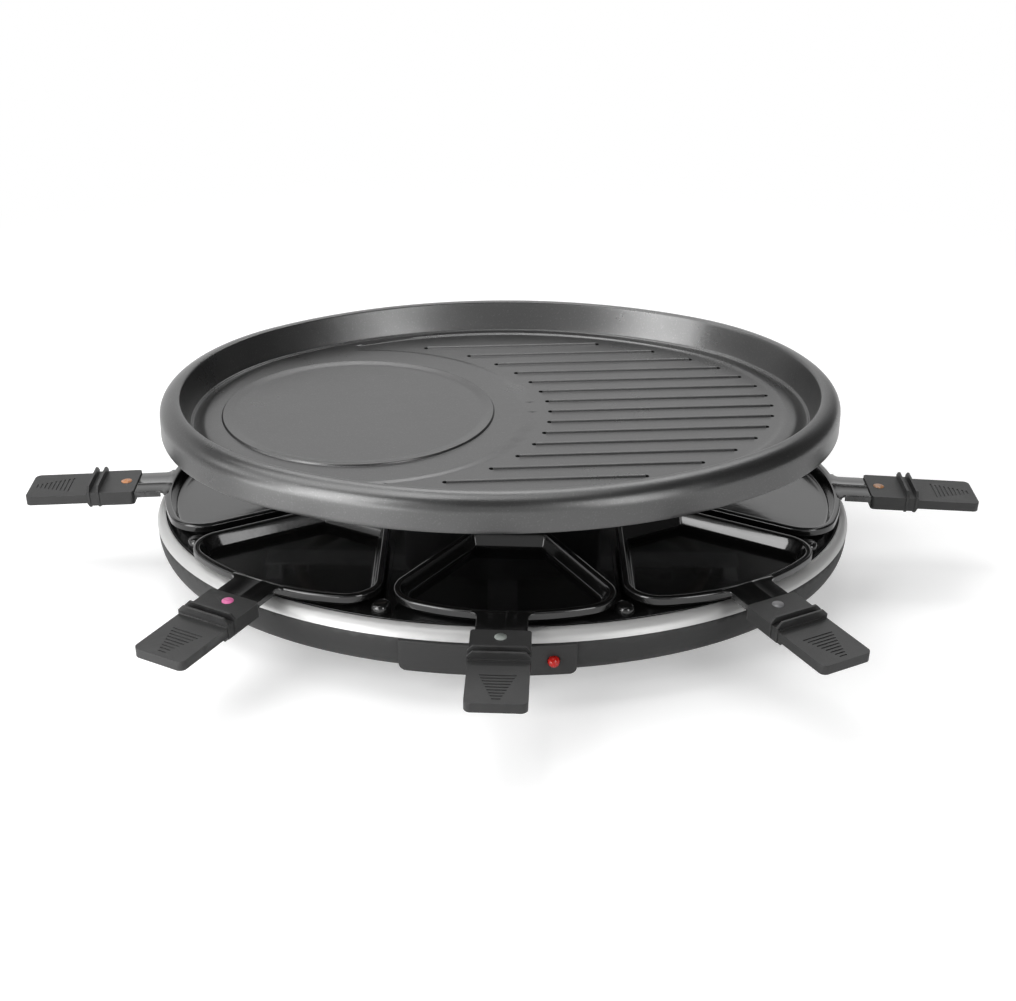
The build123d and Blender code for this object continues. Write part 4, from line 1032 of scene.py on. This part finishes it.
def table_finish():
    """A pale matt surface that ends in plain white away from the grill."""
    material = bpy.data.materials.new("white table")
    material.use_nodes = True
    tree = material.node_tree
    tree.nodes.clear()
    out = tree.nodes.new("ShaderNodeOutputMaterial")
    matt = put(tree, "ShaderNodeBsdfDiffuse", Color=grey(0.8))
    glow = put(tree, "ShaderNodeEmission", Color=grey(1.0))
    paper = put(tree, "ShaderNodeEmission", Color=grey(1.0), Strength=1.0)
    rays = tree.nodes.new("ShaderNodeLightPath")
    mirrored = maths(tree, "MULTIPLY", (rays, "Is Glossy Ray"), glow_mirrored)
    level = maths(tree, "MULTIPLY_ADD", (rays, "Is Camera Ray"), glow_seen, (mirrored, 0))
    wire(tree, level, 0, glow, "Strength")
    near = tree.nodes.new("ShaderNodeAddShader")
    wire(tree, matt, "BSDF", near, 0)
    wire(tree, glow, "Emission", near, 1)
    where = tree.nodes.new("ShaderNodeTexCoord")
    away = tree.nodes.new("ShaderNodeVectorMath")
    away.operation = "LENGTH"
    wire(tree, where, "Object", away, 0)
    far = put(tree, "ShaderNodeMapRange", From_Min=white_from, From_Max=white_at)
    far.interpolation_type = "SMOOTHSTEP"
    wire(tree, away, "Value", far, "Value")
    viewed = maths(tree, "MAXIMUM", (rays, "Is Camera Ray"), (rays, "Is Glossy Ray"))
    seen = maths(tree, "MULTIPLY", (far, 0), (viewed, 0))
    both = tree.nodes.new("ShaderNodeMixShader")
    wire(tree, seen, 0, both, "Fac")
    wire(tree, near, 0, both, 1)
    wire(tree, paper, "Emission", both, 2)
    wire(tree, both, 0, out, "Surface")
    return material


table_half = 4.0
table_mesh = bpy.data.meshes.new("table")
corners = [(-table_half, -table_half, 0), (table_half, -table_half, 0),
           (table_half, table_half, 0), (-table_half, table_half, 0)]
table_mesh.from_pydata(corners, [], [(0, 1, 2, 3)])
table_mesh.materials.append(table_finish())
table = in_scene("table", table_mesh)
print("table side in m:", 2 * table_half)

# %% World
# Reflections see white behind the grill and a darker room overhead and to the right. The
# camera sees plain white, and everything else gets a faint even fill.
world = bpy.data.worlds.new("studio")
bpy.context.scene.world = world
world.use_nodes = True
sky = world.node_tree
sky.nodes.clear()
heading = sky.nodes.new("ShaderNodeTexCoord")
parts = sky.nodes.new("ShaderNodeSeparateXYZ")
wire(sky, heading, "Generated", parts, 0)


def fade(axis, start, end, low, high):
    """A level that changes smoothly with one direction of the room."""
    made = put(sky, "ShaderNodeMapRange", From_Min=start, From_Max=end, To_Min=low, To_Max=high)
    made.interpolation_type = "SMOOTHSTEP"
    wire(sky, parts, axis, made, "Value")
    return made


behind = fade("Y", -0.2, 0.8, 0.55, 1.0)
right_side = fade("X", 0.15, 0.75, 1.0, 0.12)
below_top = fade("Z", 0.5, 0.64, 1.0, 0.10)
room = maths(sky, "MULTIPLY", (maths(sky, "MULTIPLY", (behind, 0), (right_side, 0)), 0), (below_top, 0))
rays = sky.nodes.new("ShaderNodeLightPath")
fill = put(sky, "ShaderNodeMix", A=0.14)
wire(sky, rays, "Is Glossy Ray", fill, "Factor")
wire(sky, room, 0, fill, "B")
straight = maths(sky, "MAXIMUM", (rays, "Is Camera Ray"), (rays, "Is Transmission Ray"))
level = put(sky, "ShaderNodeMix", B=1.0)
wire(sky, straight, 0, level, "Factor")
wire(sky, fill, "Result", level, "A")
glow = put(sky, "ShaderNodeBackground", Color=grey(1.0))
wire(sky, level, "Result", glow, "Strength")
out = sky.nodes.new("ShaderNodeOutputWorld")
wire(sky, glow, "Background", out, "Surface")
print("world nodes:", len(sky.nodes))


# %% Soft boxes
def soft_box(name, turn, rise, width, height, brightness, distance):
    """An area lamp that looks at the grill.

    Turn and rise are in degrees: the turn to the right from straight behind, the rise upwards.
    """
    lamp = bpy.data.lights.new(name, "AREA")
    lamp.shape = "RECTANGLE"
    lamp.size, lamp.size_y = width, height
    lamp.energy = brightness * pi * width * height
    box = in_scene(name, lamp)
    aim = Vector((0, 0, 0.08))
    flat = cos(radians(rise))
    way = Vector((sin(radians(turn)) * flat, cos(radians(turn)) * flat, sin(radians(rise))))
    box.location = aim + way * distance
    box.rotation_euler = (-way).to_track_quat("-Z", "Y").to_euler()
    box.visible_camera = False


# Name, turn, rise, width, height, brightness and distance
for box in (
    ("front left", -136, 24, 0.6, 1.3, 6.2, 1.6),
    ("left", -100, 32, 0.7, 0.7, 1.8, 1.6),
    ("front right", 142, 22, 0.45, 1.2, 4.8, 1.6),
    ("overhead left", -90, 66, 0.9, 0.9, 2.8, 1.5),
    ("overhead", 0, 88, 0.8, 0.8, 1.6, 1.5),
    ("overhead rear", 4, 54, 1.3, 0.55, 3.6, 1.5),
    ("low card", -137, -4, 0.32, 0.15, 2.8, 0.42),
):
    soft_box(*box)
bpy.context.scene.view_settings.view_transform = "Standard"
